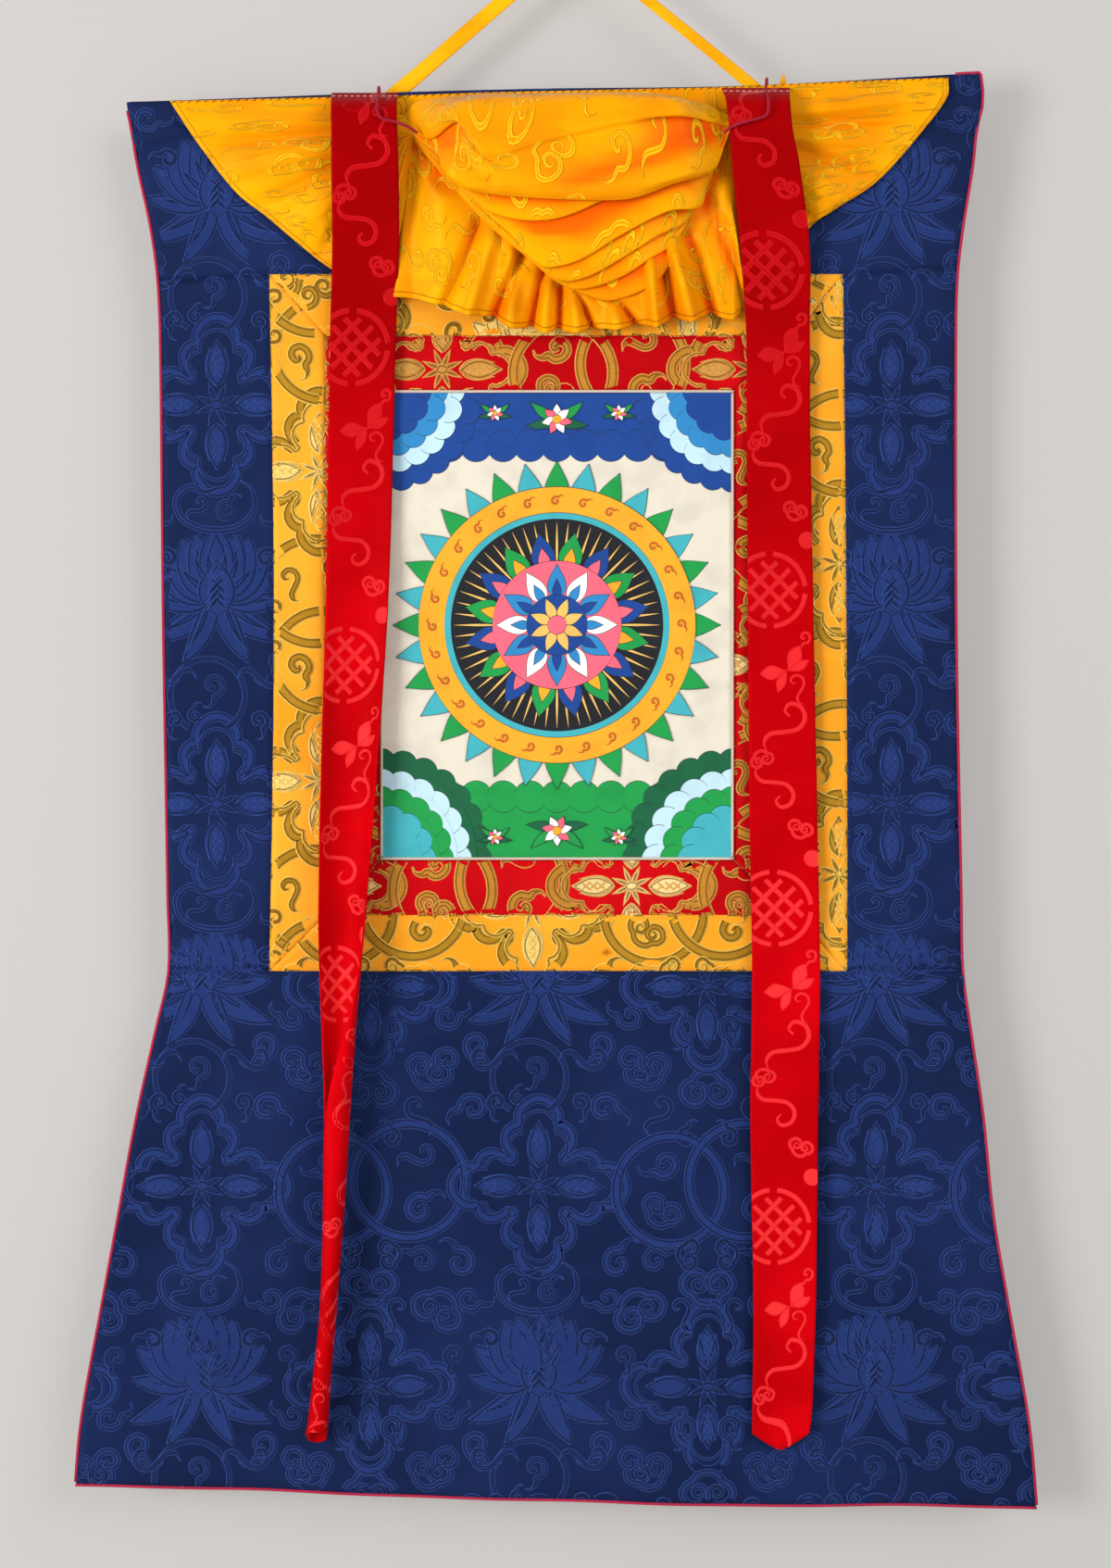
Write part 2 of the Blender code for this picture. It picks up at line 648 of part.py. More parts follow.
def main():
    for old in list(bpy.data.objects):
        bpy.data.objects.remove(old, do_unlink=True)
    parts = bpy.data.collections.new("thangka_scroll")
    bpy.context.scene.collection.children.link(parts)

    navy_panels(parts)
    border_strips("gold_border", GOLD_OUTER, RED_OUTER, gold_edge, ((0.82, 0.40, 0.05), 0.45), parts)
    border_strips("red_border", RED_OUTER, PAINTING, red_edge, ((0.5, 0.01, 0.01), 0.45), parts)
    painting(parts)
    painting_edging(parts)
    edge_piping(parts)
    veil(parts)
    ribbon("ribbon_left", LEFT_RIBBON, False, parts)
    ribbon("ribbon_right", RIGHT_RIBBON, True, parts)
    hanging_strap(parts)
    ties(parts)


main()
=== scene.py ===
"""Looks of the thangka scroll painting: its brocades, canvas, veil, ribbons, strap and ties.

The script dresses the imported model. The front faces -Y, +Z is up and sizes are in metres. Every cloth
lies on the surface that its solid has, and the woven figures are thin ribbons of mesh laid on it.
"""

from __future__ import annotations

import logging
import math
import random
from collections.abc import Callable, Sequence
from dataclasses import dataclass
from enum import Enum
from functools import partial
from typing import NamedTuple

import bmesh
import bpy
import numpy as np
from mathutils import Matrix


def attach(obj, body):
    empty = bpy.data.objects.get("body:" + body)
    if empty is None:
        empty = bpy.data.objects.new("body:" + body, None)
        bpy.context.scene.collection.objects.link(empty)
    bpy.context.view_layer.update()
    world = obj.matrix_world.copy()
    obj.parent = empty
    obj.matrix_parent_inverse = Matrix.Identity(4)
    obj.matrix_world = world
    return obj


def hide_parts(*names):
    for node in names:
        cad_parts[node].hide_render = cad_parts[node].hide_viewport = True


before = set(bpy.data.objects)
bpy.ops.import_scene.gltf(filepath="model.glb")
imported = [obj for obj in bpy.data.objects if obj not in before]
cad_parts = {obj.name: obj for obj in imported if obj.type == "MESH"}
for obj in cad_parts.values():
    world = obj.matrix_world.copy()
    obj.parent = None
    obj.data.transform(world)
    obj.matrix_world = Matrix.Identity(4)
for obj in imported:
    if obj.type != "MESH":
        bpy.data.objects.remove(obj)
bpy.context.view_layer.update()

LOG = logging.getLogger("thangka")
Array = np.ndarray
Colour = tuple[float, float, float]
PLAIN: Colour = (1.0, 1.0, 1.0)


# Small maths ---------------------------------------------------------------------------------------


def steady(value: Array | float) -> Array:
    """Return 0 below 0, 1 above 1 and a smooth rise between."""
    held = np.clip(value, 0.0, 1.0)
    return held * held * (3 - 2 * held)


def mix(a: Array | float, b: Array | float, share: Array | float) -> Array | float:
    """Return the value that lies a share of the way from a to b."""
    return a + (b - a) * share


def curve_through(places: Sequence[float], values: Sequence[float], at: Array | float) -> Array:
    """Read a smooth curve through a table.

    Args:
        places: where the table's rows stand, rising.
        values: the value of each row.
        at: one place or an array of them.

    Returns:
        The curve's value at each place, held level past both ends.
    """
    spots, levels = np.asarray(places, float), np.asarray(values, float)
    where = np.clip(np.asarray(at, float), spots[0], spots[-1])
    row = np.clip(np.searchsorted(spots, where, side="right") - 1, 0, len(spots) - 2)
    before = np.clip(np.arange(len(spots)) - 1, 0, None)
    after = np.clip(np.arange(len(spots)) + 1, None, len(spots) - 1)
    slopes = (levels[after] - levels[before]) / (spots[after] - spots[before])
    step = spots[row + 1] - spots[row]
    t = (where - spots[row]) / step
    return (
        (2 * t**3 - 3 * t**2 + 1) * levels[row]
        + (t**3 - 2 * t**2 + t) * slopes[row] * step
        + (3 * t**2 - 2 * t**3) * levels[row + 1]
        + (t**3 - t**2) * slopes[row + 1] * step
    )


def linear(red: int, green: int, blue: int) -> Colour:
    """Turn a screen colour of 0 to 255 into the shaders' linear values."""
    levels = [c / 255 for c in (red, green, blue)]
    return tuple(c / 12.92 if c <= 0.04045 else ((c + 0.055) / 1.055) ** 2.4 for c in levels)


def hues(*colours: tuple[int, int, int]) -> list[Colour]:
    """Turn several screen colours into linear values."""
    return [linear(*colour) for colour in colours]


def named(kind: type, *table: tuple) -> tuple:
    """Name the numbers of a table's rows."""
    return tuple(kind(*row) for row in table)


def polar(radius: float, degrees: float) -> tuple[float, float]:
    """Return the point at a radius and an angle."""
    return radius * math.cos(math.radians(degrees)), radius * math.sin(math.radians(degrees))


def run_along(points: Array) -> Array:
    """Return how far along a line each of its points is."""
    return np.concatenate([[0], np.cumsum(np.linalg.norm(np.diff(points, axis=0), axis=1))])


def linked(name: str, data: bpy.types.ID) -> bpy.types.Object:
    """Make an object and link it to the scene."""
    piece = bpy.data.objects.new(name, data)
    bpy.context.scene.collection.objects.link(piece)
    return piece


def poly_curve(name: str, points: Array) -> bpy.types.Curve:
    """Make a curve with straight parts through some points."""
    curve = bpy.data.curves.new(name, "CURVE")
    curve.dimensions = "3D"
    spline = curve.splines.new("POLY")
    spline.points.add(len(points) - 1)
    for spot, place in zip(spline.points, points):
        spot.co = (*place, 1)
    return curve


# The hanging cloth, as the solids have it ------------------------------------------------------------

LINED_CLOTH = 0.0020
SEAM_GAP = 0.0003
PIPING_RADIUS = 0.0009
EDGING_RADIUS = 0.0009
TIE_RADIUS = 0.0009
RIBBON_WIDTH = 0.0430


class Rectangle(NamedTuple):
    """The four sides of one nested frame."""

    left: float
    right: float
    top: float
    bottom: float


GOLD_OUTER = Rectangle(-0.1985, 0.1755, -0.2172, -0.6680)
RED_OUTER = Rectangle(-0.1620, 0.1410, -0.2568, -0.6318)
PAINTING = Rectangle(-0.1256, 0.1011, -0.2934, -0.5952)
GOLD_SWELL = 0.0030


class OutlineRow(NamedTuple):
    """How far left and right the cloth reaches at one height."""

    z: float
    left: float
    right: float


OUTLINE = named(
    OutlineRow,
    (-0.088, -0.294, 0.2625), (-0.106, -0.292, 0.264), (-0.124, -0.2885, 0.26),
    (-0.148, -0.2845, 0.2575), (-0.185, -0.2765, 0.2515), (-0.22, -0.2715, 0.2475),
    (-0.27, -0.2695, 0.2465), (-0.45, -0.2675, 0.247), (-0.62, -0.265, 0.25), (-0.668, -0.2645, 0.251),
    (-0.705, -0.2725, 0.256), (-0.762, -0.285, 0.264), (-0.823, -0.296, 0.27), (-0.884, -0.307, 0.28),
    (-0.958, -0.32, 0.2928), (-1.015, -0.3245, 0.298),
)


class EdgeRow(NamedTuple):
    """One station of a line that runs across the cloth."""

    x: float
    z: float


TOP_EDGE = named(
    EdgeRow,
    (-0.294, -0.1062), (-0.155, -0.1014), (-0.013, -0.0972), (0.12, -0.0952), (0.263, -0.0876),
)
BOTTOM_EDGE = named(
    EdgeRow,
    (-0.325, -0.999), (-0.11, -1.0074), (0.07, -1.0128), (0.298, -1.014),
)
SEAM_DROP_LEFT = 0.0045
SEAM_RISE_RIGHT = 0.0036


class Crease(NamedTuple):
    """A soft ridge (height above 0) or trough between two points of the front view."""

    x0: float
    z0: float
    x1: float
    z1: float
    height: float
    width: float


def crease_relief(creases: Sequence[Crease], x: Array, z: Array) -> Array:
    """Sum the heights of some creases at each point of the front view."""
    total = np.zeros_like(x)
    for crease in creases:
        along = np.array([crease.x1 - crease.x0, crease.z1 - crease.z0])
        length = float(np.hypot(*along))
        unit = along / length
        run = (x - crease.x0) * unit[0] + (z - crease.z0) * unit[1]
        off = (x - crease.x0) * -unit[1] + (z - crease.z0) * unit[0]
        past = np.maximum(np.maximum(-run, run - length), 0)
        total += crease.height * np.exp(-((off / crease.width) ** 2) - (past / (2.2 * crease.width)) ** 2)
    return total


PANEL_CREASES = named(
    Crease,
    (-0.294, -0.131, -0.258, -0.125, 0.002, 0.0028), (-0.29, -0.14, -0.262, -0.133, -0.0016, 0.0024),
    (-0.286, -0.121, -0.256, -0.117, -0.0014, 0.0022), (0.226, -0.11, 0.258, -0.119, 0.0022, 0.003),
    (0.232, -0.121, 0.256, -0.128, -0.0016, 0.0026), (0.238, -0.1, 0.26, -0.106, -0.0014, 0.0024),
    (0.08, -0.9868, 0.16, -0.9872, 0.0018, 0.0016), (0.08, -0.9895, 0.235, -0.989, -0.0016, 0.0018),
    (-0.07, -0.84, -0.02, -0.905, 0.0024, 0.009), (-0.045, -0.835, 0.0, -0.885, -0.002, 0.008),
    (0.02, -0.76, 0.065, -0.8, 0.0018, 0.01), (-0.2, -0.735, -0.15, -0.775, -0.0016, 0.01),
    (0.175, -0.8, 0.215, -0.88, 0.002, 0.011), (-0.25, -0.9, -0.215, -0.96, 0.002, 0.011),
    (-0.262, -0.64, -0.215, -0.668, -0.0014, 0.006), (0.19, -0.65, 0.245, -0.672, 0.0016, 0.006),
    (-0.06, -0.862, 0.01, -0.868, 0.0014, 0.005), (-0.2, -0.705, -0.08, -0.712, 0.0012, 0.006),
    (0.16, -0.74, 0.205, -0.746, -0.0012, 0.005),
)


class Drape:
    """The surface on which the lined cloth hangs."""

    def outline(self, side: str, z: Array | float) -> Array:
        """Return the outer edge's place at a height."""
        return curve_through([-r.z for r in OUTLINE], [getattr(r, side) for r in OUTLINE], -np.asarray(z))

    def top(self, x: Array | float) -> Array:
        """Return the top edge's height at a width."""
        return curve_through([r.x for r in TOP_EDGE], [r.z for r in TOP_EDGE], x)

    def foot(self, x: Array | float) -> Array:
        """Return the bottom edge's height at a width."""
        return curve_through([r.x for r in BOTTOM_EDGE], [r.z for r in BOTTOM_EDGE], x)

    def hang(self, x: Array | float, z: Array | float) -> Array:
        """Return how far back (+Y) the middle of the cloth is at a place of the front view."""
        x, z = np.asarray(x, float), np.asarray(z, float)
        left, right = self.outline("left", z), self.outline("right", z)
        across = (2 * x - left - right) / (right - left)
        gentle = 0.0012 * np.sin(20 * x + 0.7) * np.sin(12 * z)
        lower = steady((-z - 0.69) / 0.12)
        buckle = 0.0016 * np.sin(30 * x + 9 * z + 1.1) + 0.0009 * np.sin(61 * x - 17 * z)
        curl = (0.0016 + 0.0026 * lower) * across**6
        lifted_foot = 0.0030 * steady((-z - 0.93) / 0.08)
        top_hem = 0.0010 * steady((z + 0.135) / 0.03)
        return -0.0040 - gentle - lower * buckle - curl - lifted_foot - top_hem

    def surface(self, x: Array, z: Array) -> Array:
        """Return the middle of the cloth with its small creases, which the solids leave out."""
        return self.hang(x, z) - crease_relief(PANEL_CREASES, x, z)

    def top_seam(self, x: Array | float) -> Array:
        """Return the height of the seam under the top panel."""
        x = np.asarray(x, float)
        left = steady((GOLD_OUTER.left - x) / 0.07)
        right = steady((x - GOLD_OUTER.right) / 0.07)
        return GOLD_OUTER.top - SEAM_DROP_LEFT * left + SEAM_RISE_RIGHT * right

    def gold_edge(self, side: str, z: Array | float) -> Array:
        """Return the gold border's outer edge, which swells a little between its corners."""
        share = (np.asarray(z, float) - GOLD_OUTER.top) / (GOLD_OUTER.bottom - GOLD_OUTER.top)
        swell = GOLD_SWELL * np.sin(np.pi * np.clip(share, 0, 1))
        if side == "left":
            return GOLD_OUTER.left + swell
        return mix(GOLD_OUTER.right - 0.0027, GOLD_OUTER.right, share) + swell / 3


DRAPE = Drape()


# Shaders -------------------------------------------------------------------------------------------


class Num:
    """A number socket that takes part in Python arithmetic."""

    def __init__(self, graph: Graph, socket: bpy.types.NodeSocket) -> None:
        """Wrap one output socket of a graph."""
        self.graph = graph
        self.socket = socket

    def math(self, operation: str, *others: Num | float, reverse: bool = False) -> Num:
        """Add one Math node. reverse puts the first other value before this one."""
        values = [self, *others]
        if reverse:
            values = [others[0], self, *others[1:]]
        node = self.graph.node("ShaderNodeMath", {"operation": operation}, dict(enumerate(values)))
        return Num(self.graph, node.outputs[0])

    def __add__(self, other: Num | float) -> Num:
        """Add."""
        return self.math("ADD", other)

    def __sub__(self, other: Num | float) -> Num:
        """Subtract."""
        return self.math("SUBTRACT", other)

    def __rsub__(self, other: Num | float) -> Num:
        """Subtract from a plain number."""
        return self.math("SUBTRACT", other, reverse=True)

    def __mul__(self, other: Num | float) -> Num:
        """Multiply."""
        return self.math("MULTIPLY", other)

    __radd__ = __add__
    __rmul__ = __mul__

    def sine(self) -> Num:
        """Return the sine."""
        return self.math("SINE")

    def size(self) -> Num:
        """Return the value without its sign."""
        return self.math("ABSOLUTE")

    def ramp(self, low: float, high: float) -> Num:
        """Rise smoothly from 0 at low to 1 at high."""
        settings = {"interpolation_type": "SMOOTHSTEP"}
        values = {"Value": self, "From Min": low, "From Max": high}
        return Num(self.graph, self.graph.node("ShaderNodeMapRange", settings, values).outputs[0])


class Graph:
    """One material's node tree, with a method for each thing the finishes need."""

    def __init__(self, name: str) -> None:
        """Start a material that holds a Principled shader and its output."""
        self.material = bpy.data.materials.new(name)
        self.material.use_nodes = True
        self.tree = self.material.node_tree
        self.tree.nodes.clear()
        self.shader = self.node("ShaderNodeBsdfPrincipled")
        output = self.node("ShaderNodeOutputMaterial")
        self.tree.links.new(self.shader.outputs[0], output.inputs["Surface"])

    def node(self, kind: str, settings: dict | None = None, inputs: dict | None = None) -> bpy.types.Node:
        """Add a node.

        Args:
            kind: the node's type.
            settings: its own properties, set before anything else.
            inputs: values or links for its sockets, by name or number.

        Returns:
            The new node.
        """
        node = self.tree.nodes.new(kind)
        for key, value in (settings or {}).items():
            setattr(node, key, value)
        for key, value in (inputs or {}).items():
            self.feed(node.inputs[key], value)
        return node

    def feed(self, socket: bpy.types.NodeSocket, value: object) -> None:
        """Link a socket, or set its own value."""
        if isinstance(value, Num):
            value = value.socket
        if isinstance(value, bpy.types.NodeSocket):
            self.tree.links.new(value, socket)
        elif isinstance(value, tuple) and len(value) == 3 and socket.type == "RGBA":
            socket.default_value = (*value, 1)
        else:
            socket.default_value = value

    def blend(self, a: object, b: object, factor: Num | float, how: str = "MIX") -> bpy.types.NodeSocket:
        """Mix two colours."""
        node = self.node("ShaderNodeMix", {"data_type": "RGBA", "blend_type": how})
        self.feed(node.inputs["Factor"], factor)
        self.feed(node.inputs[6], a)
        self.feed(node.inputs[7], b)
        return node.outputs[2]

    def darken(self, base: object, tint: Colour, factor: Num | float) -> bpy.types.NodeSocket:
        """Multiply a colour by a tint, as far as the factor says."""
        return self.blend(base, self.blend(base, tint, 1.0, "MULTIPLY"), factor)

    def place(self) -> tuple[Num, Num, Num]:
        """Return the three Object coordinates."""
        where = self.node("ShaderNodeTexCoord").outputs["Object"]
        axes = self.node("ShaderNodeSeparateXYZ", None, {0: where})
        return tuple(Num(self, axes.outputs[i]) for i in range(3))

    def flat(self) -> tuple[Num, Num]:
        """Return the piece's own UV, in metres of cloth."""
        axes = self.node("ShaderNodeSeparateXYZ", None, {0: self.node("ShaderNodeUVMap").outputs[0]})
        return Num(self, axes.outputs[0]), Num(self, axes.outputs[1])

    def read(self, name: str) -> Num:
        """Return an attribute of the mesh as a number."""
        return Num(self, self.node("ShaderNodeAttribute", {"attribute_name": name}).outputs["Fac"])

    def read_colour(self, name: str) -> bpy.types.NodeSocket:
        """Return an attribute of the mesh as a colour."""
        return self.node("ShaderNodeAttribute", {"attribute_name": name}).outputs["Color"]

    def noise(self, scale: float, detail: float = 2.0, stretch: Colour = (1, 1, 1)) -> Num:
        """Return soft noise on Object coordinates."""
        where = self.node("ShaderNodeTexCoord").outputs["Object"]
        mapped = self.node("ShaderNodeMapping", None, {"Vector": where, "Scale": stretch})
        values = {"Vector": mapped.outputs[0], "Scale": scale, "Detail": detail}
        return Num(self, self.node("ShaderNodeTexNoise", None, values).outputs[0])

    def finish(
        self, base: object, rough: object, height: Num, depth: float, **fixed: object
    ) -> bpy.types.Material:
        """Feed the shader.

        Args:
            base: base colour.
            rough: roughness.
            height: the bump's height, from 0 to 1.
            depth: what a height of 1 stands for, in metres.
            fixed: the shader's own sockets that are the same all over, with _ for a space.

        Returns:
            The finished material.
        """
        bump = self.node("ShaderNodeBump", None, {"Height": height, "Distance": depth, "Strength": 1.0})
        self.feed(self.shader.inputs["Base Color"], base)
        self.feed(self.shader.inputs["Roughness"], rough)
        self.feed(self.shader.inputs["Normal"], bump.outputs[0])
        for key, value in fixed.items():
            self.feed(self.shader.inputs[key.replace("_", " ")], value)
        return self.material


class Weave(Enum):
    """How a cloth's threads cross."""

    SATIN = "satin"
    TWILL = "twill"


@dataclass(frozen=True)
class Cloth:
    """A woven ground: its colour, weave and wear, and painted shade towards the top where one is asked for.
    """

    name: str
    colour: Colour
    shade: Colour
    weave: Weave
    pitch: float = 0.0007
    rough: float = 0.5
    relief: float = 0.00012
    sheen: float = 0.06
    slub: float = 0.5
    specular: float = 0.3
    tint: Colour = PLAIN
    top_shade: float = 0.0
    stain: tuple[float, float] | None = None

    def material(self) -> bpy.types.Material:
        """Build the ground's material on Object coordinates."""
        graph = Graph(self.name)
        x, _, z = graph.place()
        turn = 2 * math.pi / self.pitch
        warp, weft = (x * turn).sine(), (z * turn).sine()
        if self.weave is Weave.TWILL:
            threads = ((x + z) * (turn * 0.7)).sine() * 0.5 + 0.5
        else:
            threads = weft * 0.35 + warp * 0.1 + 0.5
        patches = graph.noise(9.0, 3.0)
        slubs = graph.noise(260.0, 2.0, (0.12, 1, 1))
        wear = patches.ramp(0.35, 0.75) * 0.55 + (slubs * self.slub + threads * 0.25) * 0.45
        base = graph.blend(self.shade, self.colour, wear.ramp(0.05, 0.75))
        # Painted shade: the cloth darkens towards the top.
        if self.top_shade:
            base = graph.darken(base, (0.5, 0.4, 0.4), z.ramp(-0.5, -0.2) * self.top_shade)
        if self.stain:
            near = (x - self.stain[0]).size() + (z - self.stain[1]).size() * 1.6 + (slubs - 0.5) * 0.003
            base = graph.darken(base, (0.35, 0.22, 0.15), (1 - near.ramp(0.0005, 0.0060)) * 0.8)
        rough = patches * 0.12 + (self.rough - 0.06)
        height = threads * 0.6 + slubs * 0.4
        return graph.finish(base, rough, height, self.relief, Sheen_Weight=self.sheen, Sheen_Roughness=0.4,
                            Specular_IOR_Level=self.specular, Specular_Tint=self.tint)


@dataclass(frozen=True)
class Figure:
    """The threads of a woven figure. A line runs inside each stroke, and its rim has its own colour."""

    name: str
    colour: Colour
    pale: Colour
    rim: Colour
    line: Colour
    rim_width: float = 0.0004
    line_at: float = 0.0009
    line_width: float = 0.00022
    pitch: float = 0.0008
    rough: float = 0.42
    relief: float = 0.0003
    metal: float = 0.0
    specular: float = 0.4
    tint: Colour = PLAIN

    def material(self) -> bpy.types.Material:
        """Build the figure's material on the strokes' UV: u runs along in metres and v across, -1 to 1."""
        graph = Graph(self.name)
        along, across = graph.flat()
        tone, half = graph.read("tone"), graph.read("half")
        inside = (1 - across.size()) * half
        _, _, z = graph.place()
        rim = 1 - inside.ramp(self.rim_width * 0.7, self.rim_width * 1.3)
        line = 1 - (inside - self.line_at).size().ramp(self.line_width * 0.5, self.line_width * 1.5)
        body = graph.blend(self.colour, self.pale, tone)
        body = graph.blend(body, self.line, line * 0.85)
        body = graph.blend(body, self.rim, rim)
        drift = graph.noise(14.0, 2.0)
        fine = graph.noise(240.0, 2.0)
        shade = drift.ramp(0.4, 0.8) * 0.3 + fine.ramp(0.35, 0.75) * 0.2
        base = graph.darken(body, (0.55, 0.55, 0.55), shade)
        threads = (z * (2 * math.pi / self.pitch)).sine() * 0.5 + 0.5
        rope = ((along + across * half) * 3600).sine() * 0.5 + 0.5
        crown = inside.ramp(0.0, 0.0008)
        height = crown * 0.6 - line * 0.4 + threads * 0.12 + rope * 0.16
        rough = drift * 0.16 + (self.rough - 0.08)
        return graph.finish(base, rough, height, self.relief, Metallic=self.metal, Sheen_Weight=0.05,
                            Specular_IOR_Level=self.specular, Specular_Tint=self.tint)


@dataclass(frozen=True)
class Satin:
    """Glossy silk with painted light and shade: a warmer, darker fold colour painted into its folds, painted
    shade along its hem crease, lighter painted highlight patches, and painted highlights and shade along its
    wrinkles.
    """

    name: str
    colour: Colour
    light: Colour
    fold_shade: Colour
    rough: float = 0.34
    pitch: float = 0.0006
    relief: float = 0.00006
    hem: float = 0.0036

    def material(self) -> bpy.types.Material:
        """Build the silk's material. The mesh's depth mark says how much painted fold glow and shade a point
        gets, and its edge mark how near an edge it is.
        """
        graph = Graph(self.name)
        depth, edge = graph.read("depth"), graph.read("edge")
        x, _, z = graph.place()
        turn = 2 * math.pi / self.pitch
        threads = ((x * 0.4 + z) * turn).sine() * 0.5 + 0.5
        patches = graph.noise(16.0, 2.0)
        # Painted highlight: broad random patches turn lighter.
        body = graph.blend(self.colour, self.light, patches.ramp(0.35, 0.7) * 0.75)
        # Painted glow and shade: the depth mark blends in the warmer, darker fold colour.
        base = graph.blend(body, self.fold_shade, depth.ramp(0.0, 1.0))
        # Painted highlights and painted shade along stretched wrinkles; the same wrinkles also raise the
        # bump.
        wrinkles_and_sheen = graph.noise(42.0, 2.0, (0.4, 1, 1))
        base = graph.blend(base, self.light, wrinkles_and_sheen.ramp(0.52, 0.66) * 0.5)
        base = graph.darken(base, (0.86, 0.66, 0.4), (1 - wrinkles_and_sheen.ramp(0.36, 0.5)) * 0.4)
        # Painted shade along the hem's crease, which the bump also sinks.
        crease = 1 - (edge - self.hem).size().ramp(0.0, 0.0007)
        base = graph.darken(base, (0.55, 0.42, 0.3), crease * 0.7)
        turned = 1 - edge.ramp(self.hem - 0.0006, self.hem)
        puckers = graph.noise(150.0, 2.0) * turned
        height = threads * 0.12 + turned * 0.5 + puckers * 0.5 - crease * 0.5 + wrinkles_and_sheen * 3.0
        rough = patches * 0.1 + (self.rough - 0.05)
        return graph.finish(
            base, rough, height, self.relief * 8, Specular_IOR_Level=0.45, Specular_Tint=YELLOW_SHEEN,
            Subsurface_Weight=0.03, Subsurface_Scale=0.004,
        )


@dataclass(frozen=True)
class Paint:
    """Matt mineral paint on canvas, whose colours the mesh holds."""

    name: str

    def material(self) -> bpy.types.Material:
        """Build the paint's material."""
        graph = Graph(self.name)
        x, _, z = graph.place()
        turn = 2 * math.pi / 0.0007
        weave = (x * turn).sine() * (z * turn).sine() * 0.5 + 0.5
        wash = graph.noise(55.0, 3.0)
        colour = graph.read_colour("paint")
        _, across = graph.flat()
        inside = (1 - across.size()) * graph.read("half")
        outline = (1 - inside.ramp(0.0003, 0.00045)) * graph.read("tone")
        colour = graph.blend(colour, (0.012, 0.012, 0.018), outline)
        base = graph.darken(colour, (0.72, 0.72, 0.74), wash.ramp(0.42, 0.72) * 0.4 + weave * 0.12)
        height = weave * 0.5 + wash * 0.5
        return graph.finish(base, 0.62 + wash * 0.12, height, 0.00008, Specular_IOR_Level=0.3)


@dataclass(frozen=True)
class Thread:
    """Spun thread or cord, laid in strands."""

    name: str
    colour: Colour
    dark: Colour
    rough: float = 0.6

    def material(self) -> bpy.types.Material:
        """Build the thread's material on UV: u runs along in metres and v round."""
        graph = Graph(self.name)
        along, around = graph.flat()
        strands = (along * 5200 + around * 12.566).sine() * 0.5 + 0.5
        fuzz = graph.noise(420.0, 2.0)
        drift = graph.noise(30.0, 2.0)
        base = graph.blend(self.dark, self.colour, strands * 0.45 + drift * 0.5 + fuzz * 0.2)
        rough, height = self.rough + fuzz * 0.1, strands * 0.7 + fuzz * 0.3
        return graph.finish(base, rough, height, 0.0002, Sheen_Weight=0.05, Specular_IOR_Level=0.2)


BLUE_SHEEN = (0.22, 0.36, 1.0)
RED_SHEEN = (1.0, 0.10, 0.08)
GOLD_SHEEN = (1.0, 0.68, 0.22)
YELLOW_SHEEN = (1.0, 0.68, 0.08)


class Finish:
    """Every finish of the scroll, made once."""

    def __init__(self) -> None:
        """Build all the materials."""
        self.navy = Cloth(
            "navy", *hues((19, 32, 72), (11, 21, 52)), Weave.TWILL, rough=0.55, tint=BLUE_SHEEN
        ).material()
        self.navy_figure = Figure(
            "navy_figure", *hues((30, 50, 108), (27, 46, 100), (46, 70, 138), (6, 12, 34)),
            rim_width=0.0005, line_at=0.0012, line_width=0.0004, rough=0.5, relief=0.0012, tint=BLUE_SHEEN,
        ).material()
        self.gold = Cloth(
            "gold", *hues((248, 168, 44), (236, 148, 26)), Weave.SATIN, rough=0.45, tint=GOLD_SHEEN,
            stain=(0.0198, -0.6558),
        ).material()
        lined = {"rim_width": 0.0006, "line_at": 0.0015, "line_width": 0.0004, "rough": 0.4, "metal": 0.1,
                 "relief": 0.0009, "tint": GOLD_SHEEN}
        self.gold_figure = Figure(
            "gold_figure", *hues((176, 128, 28), (244, 208, 122), (250, 206, 96), (122, 84, 16)), **lined
        ).material()
        self.red = Cloth(
            "red_brocade", *hues((206, 10, 18), (172, 2, 10)), Weave.SATIN, rough=0.45, tint=RED_SHEEN
        ).material()
        self.red_figure = Figure(
            "red_figure", *hues((196, 132, 44), (246, 216, 146), (232, 166, 84), (134, 70, 20)), **lined
        ).material()
        # The ribbon silk gets painted shade towards its top.
        self.ribbon = Cloth(
            "ribbon_silk", *hues((208, 1, 12), (176, 0, 6)), Weave.SATIN, rough=0.5, sheen=0.0, specular=0.1,
            tint=RED_SHEEN, top_shade=0.7,
        ).material()
        self.ribbon_figure = Figure(
            "ribbon_figure", *hues((184, 4, 14), (246, 48, 50), (214, 20, 30), (200, 12, 22)),
            rim_width=0.0003, line_width=0.0001, relief=0.0002, tint=RED_SHEEN,
        ).material()
        # The veil silk's second colour is its painted highlight, and its third is the painted glow and shade
        # in its folds.
        self.veil = Satin("veil_silk", *hues((238, 146, 0), (250, 172, 0), (240, 84, 0))).material()
        self.veil_figure = Figure(
            "veil_figure", *hues((255, 204, 14), (255, 208, 20), (232, 140, 0), (238, 150, 0)),
            rim_width=0.0005, line_at=0.0014, line_width=0.0003, rough=0.26, relief=0.0008, specular=0.5,
            tint=YELLOW_SHEEN,
        ).material()
        # The strap silk's second colour is its painted highlight.
        self.strap = Satin("strap_silk", *hues((250, 160, 4), (255, 184, 16), (214, 110, 0))).material()
        self.paint = Paint("canvas").material()
        self.edging = Thread("edging", *hues((222, 208, 190), (172, 152, 132))).material()
        self.piping = Thread("piping", *hues((196, 38, 76), (140, 16, 44))).material()
        self.tie = Thread("tie_cord", *hues((214, 16, 62), (160, 6, 38))).material()
        self.white = Thread("white_thread", *hues((236, 222, 222), (190, 160, 165))).material()
        self.dark = Thread("dark_thread", *hues((70, 30, 20), (40, 14, 10))).material()


# Cloth meshes --------------------------------------------------------------------------------------

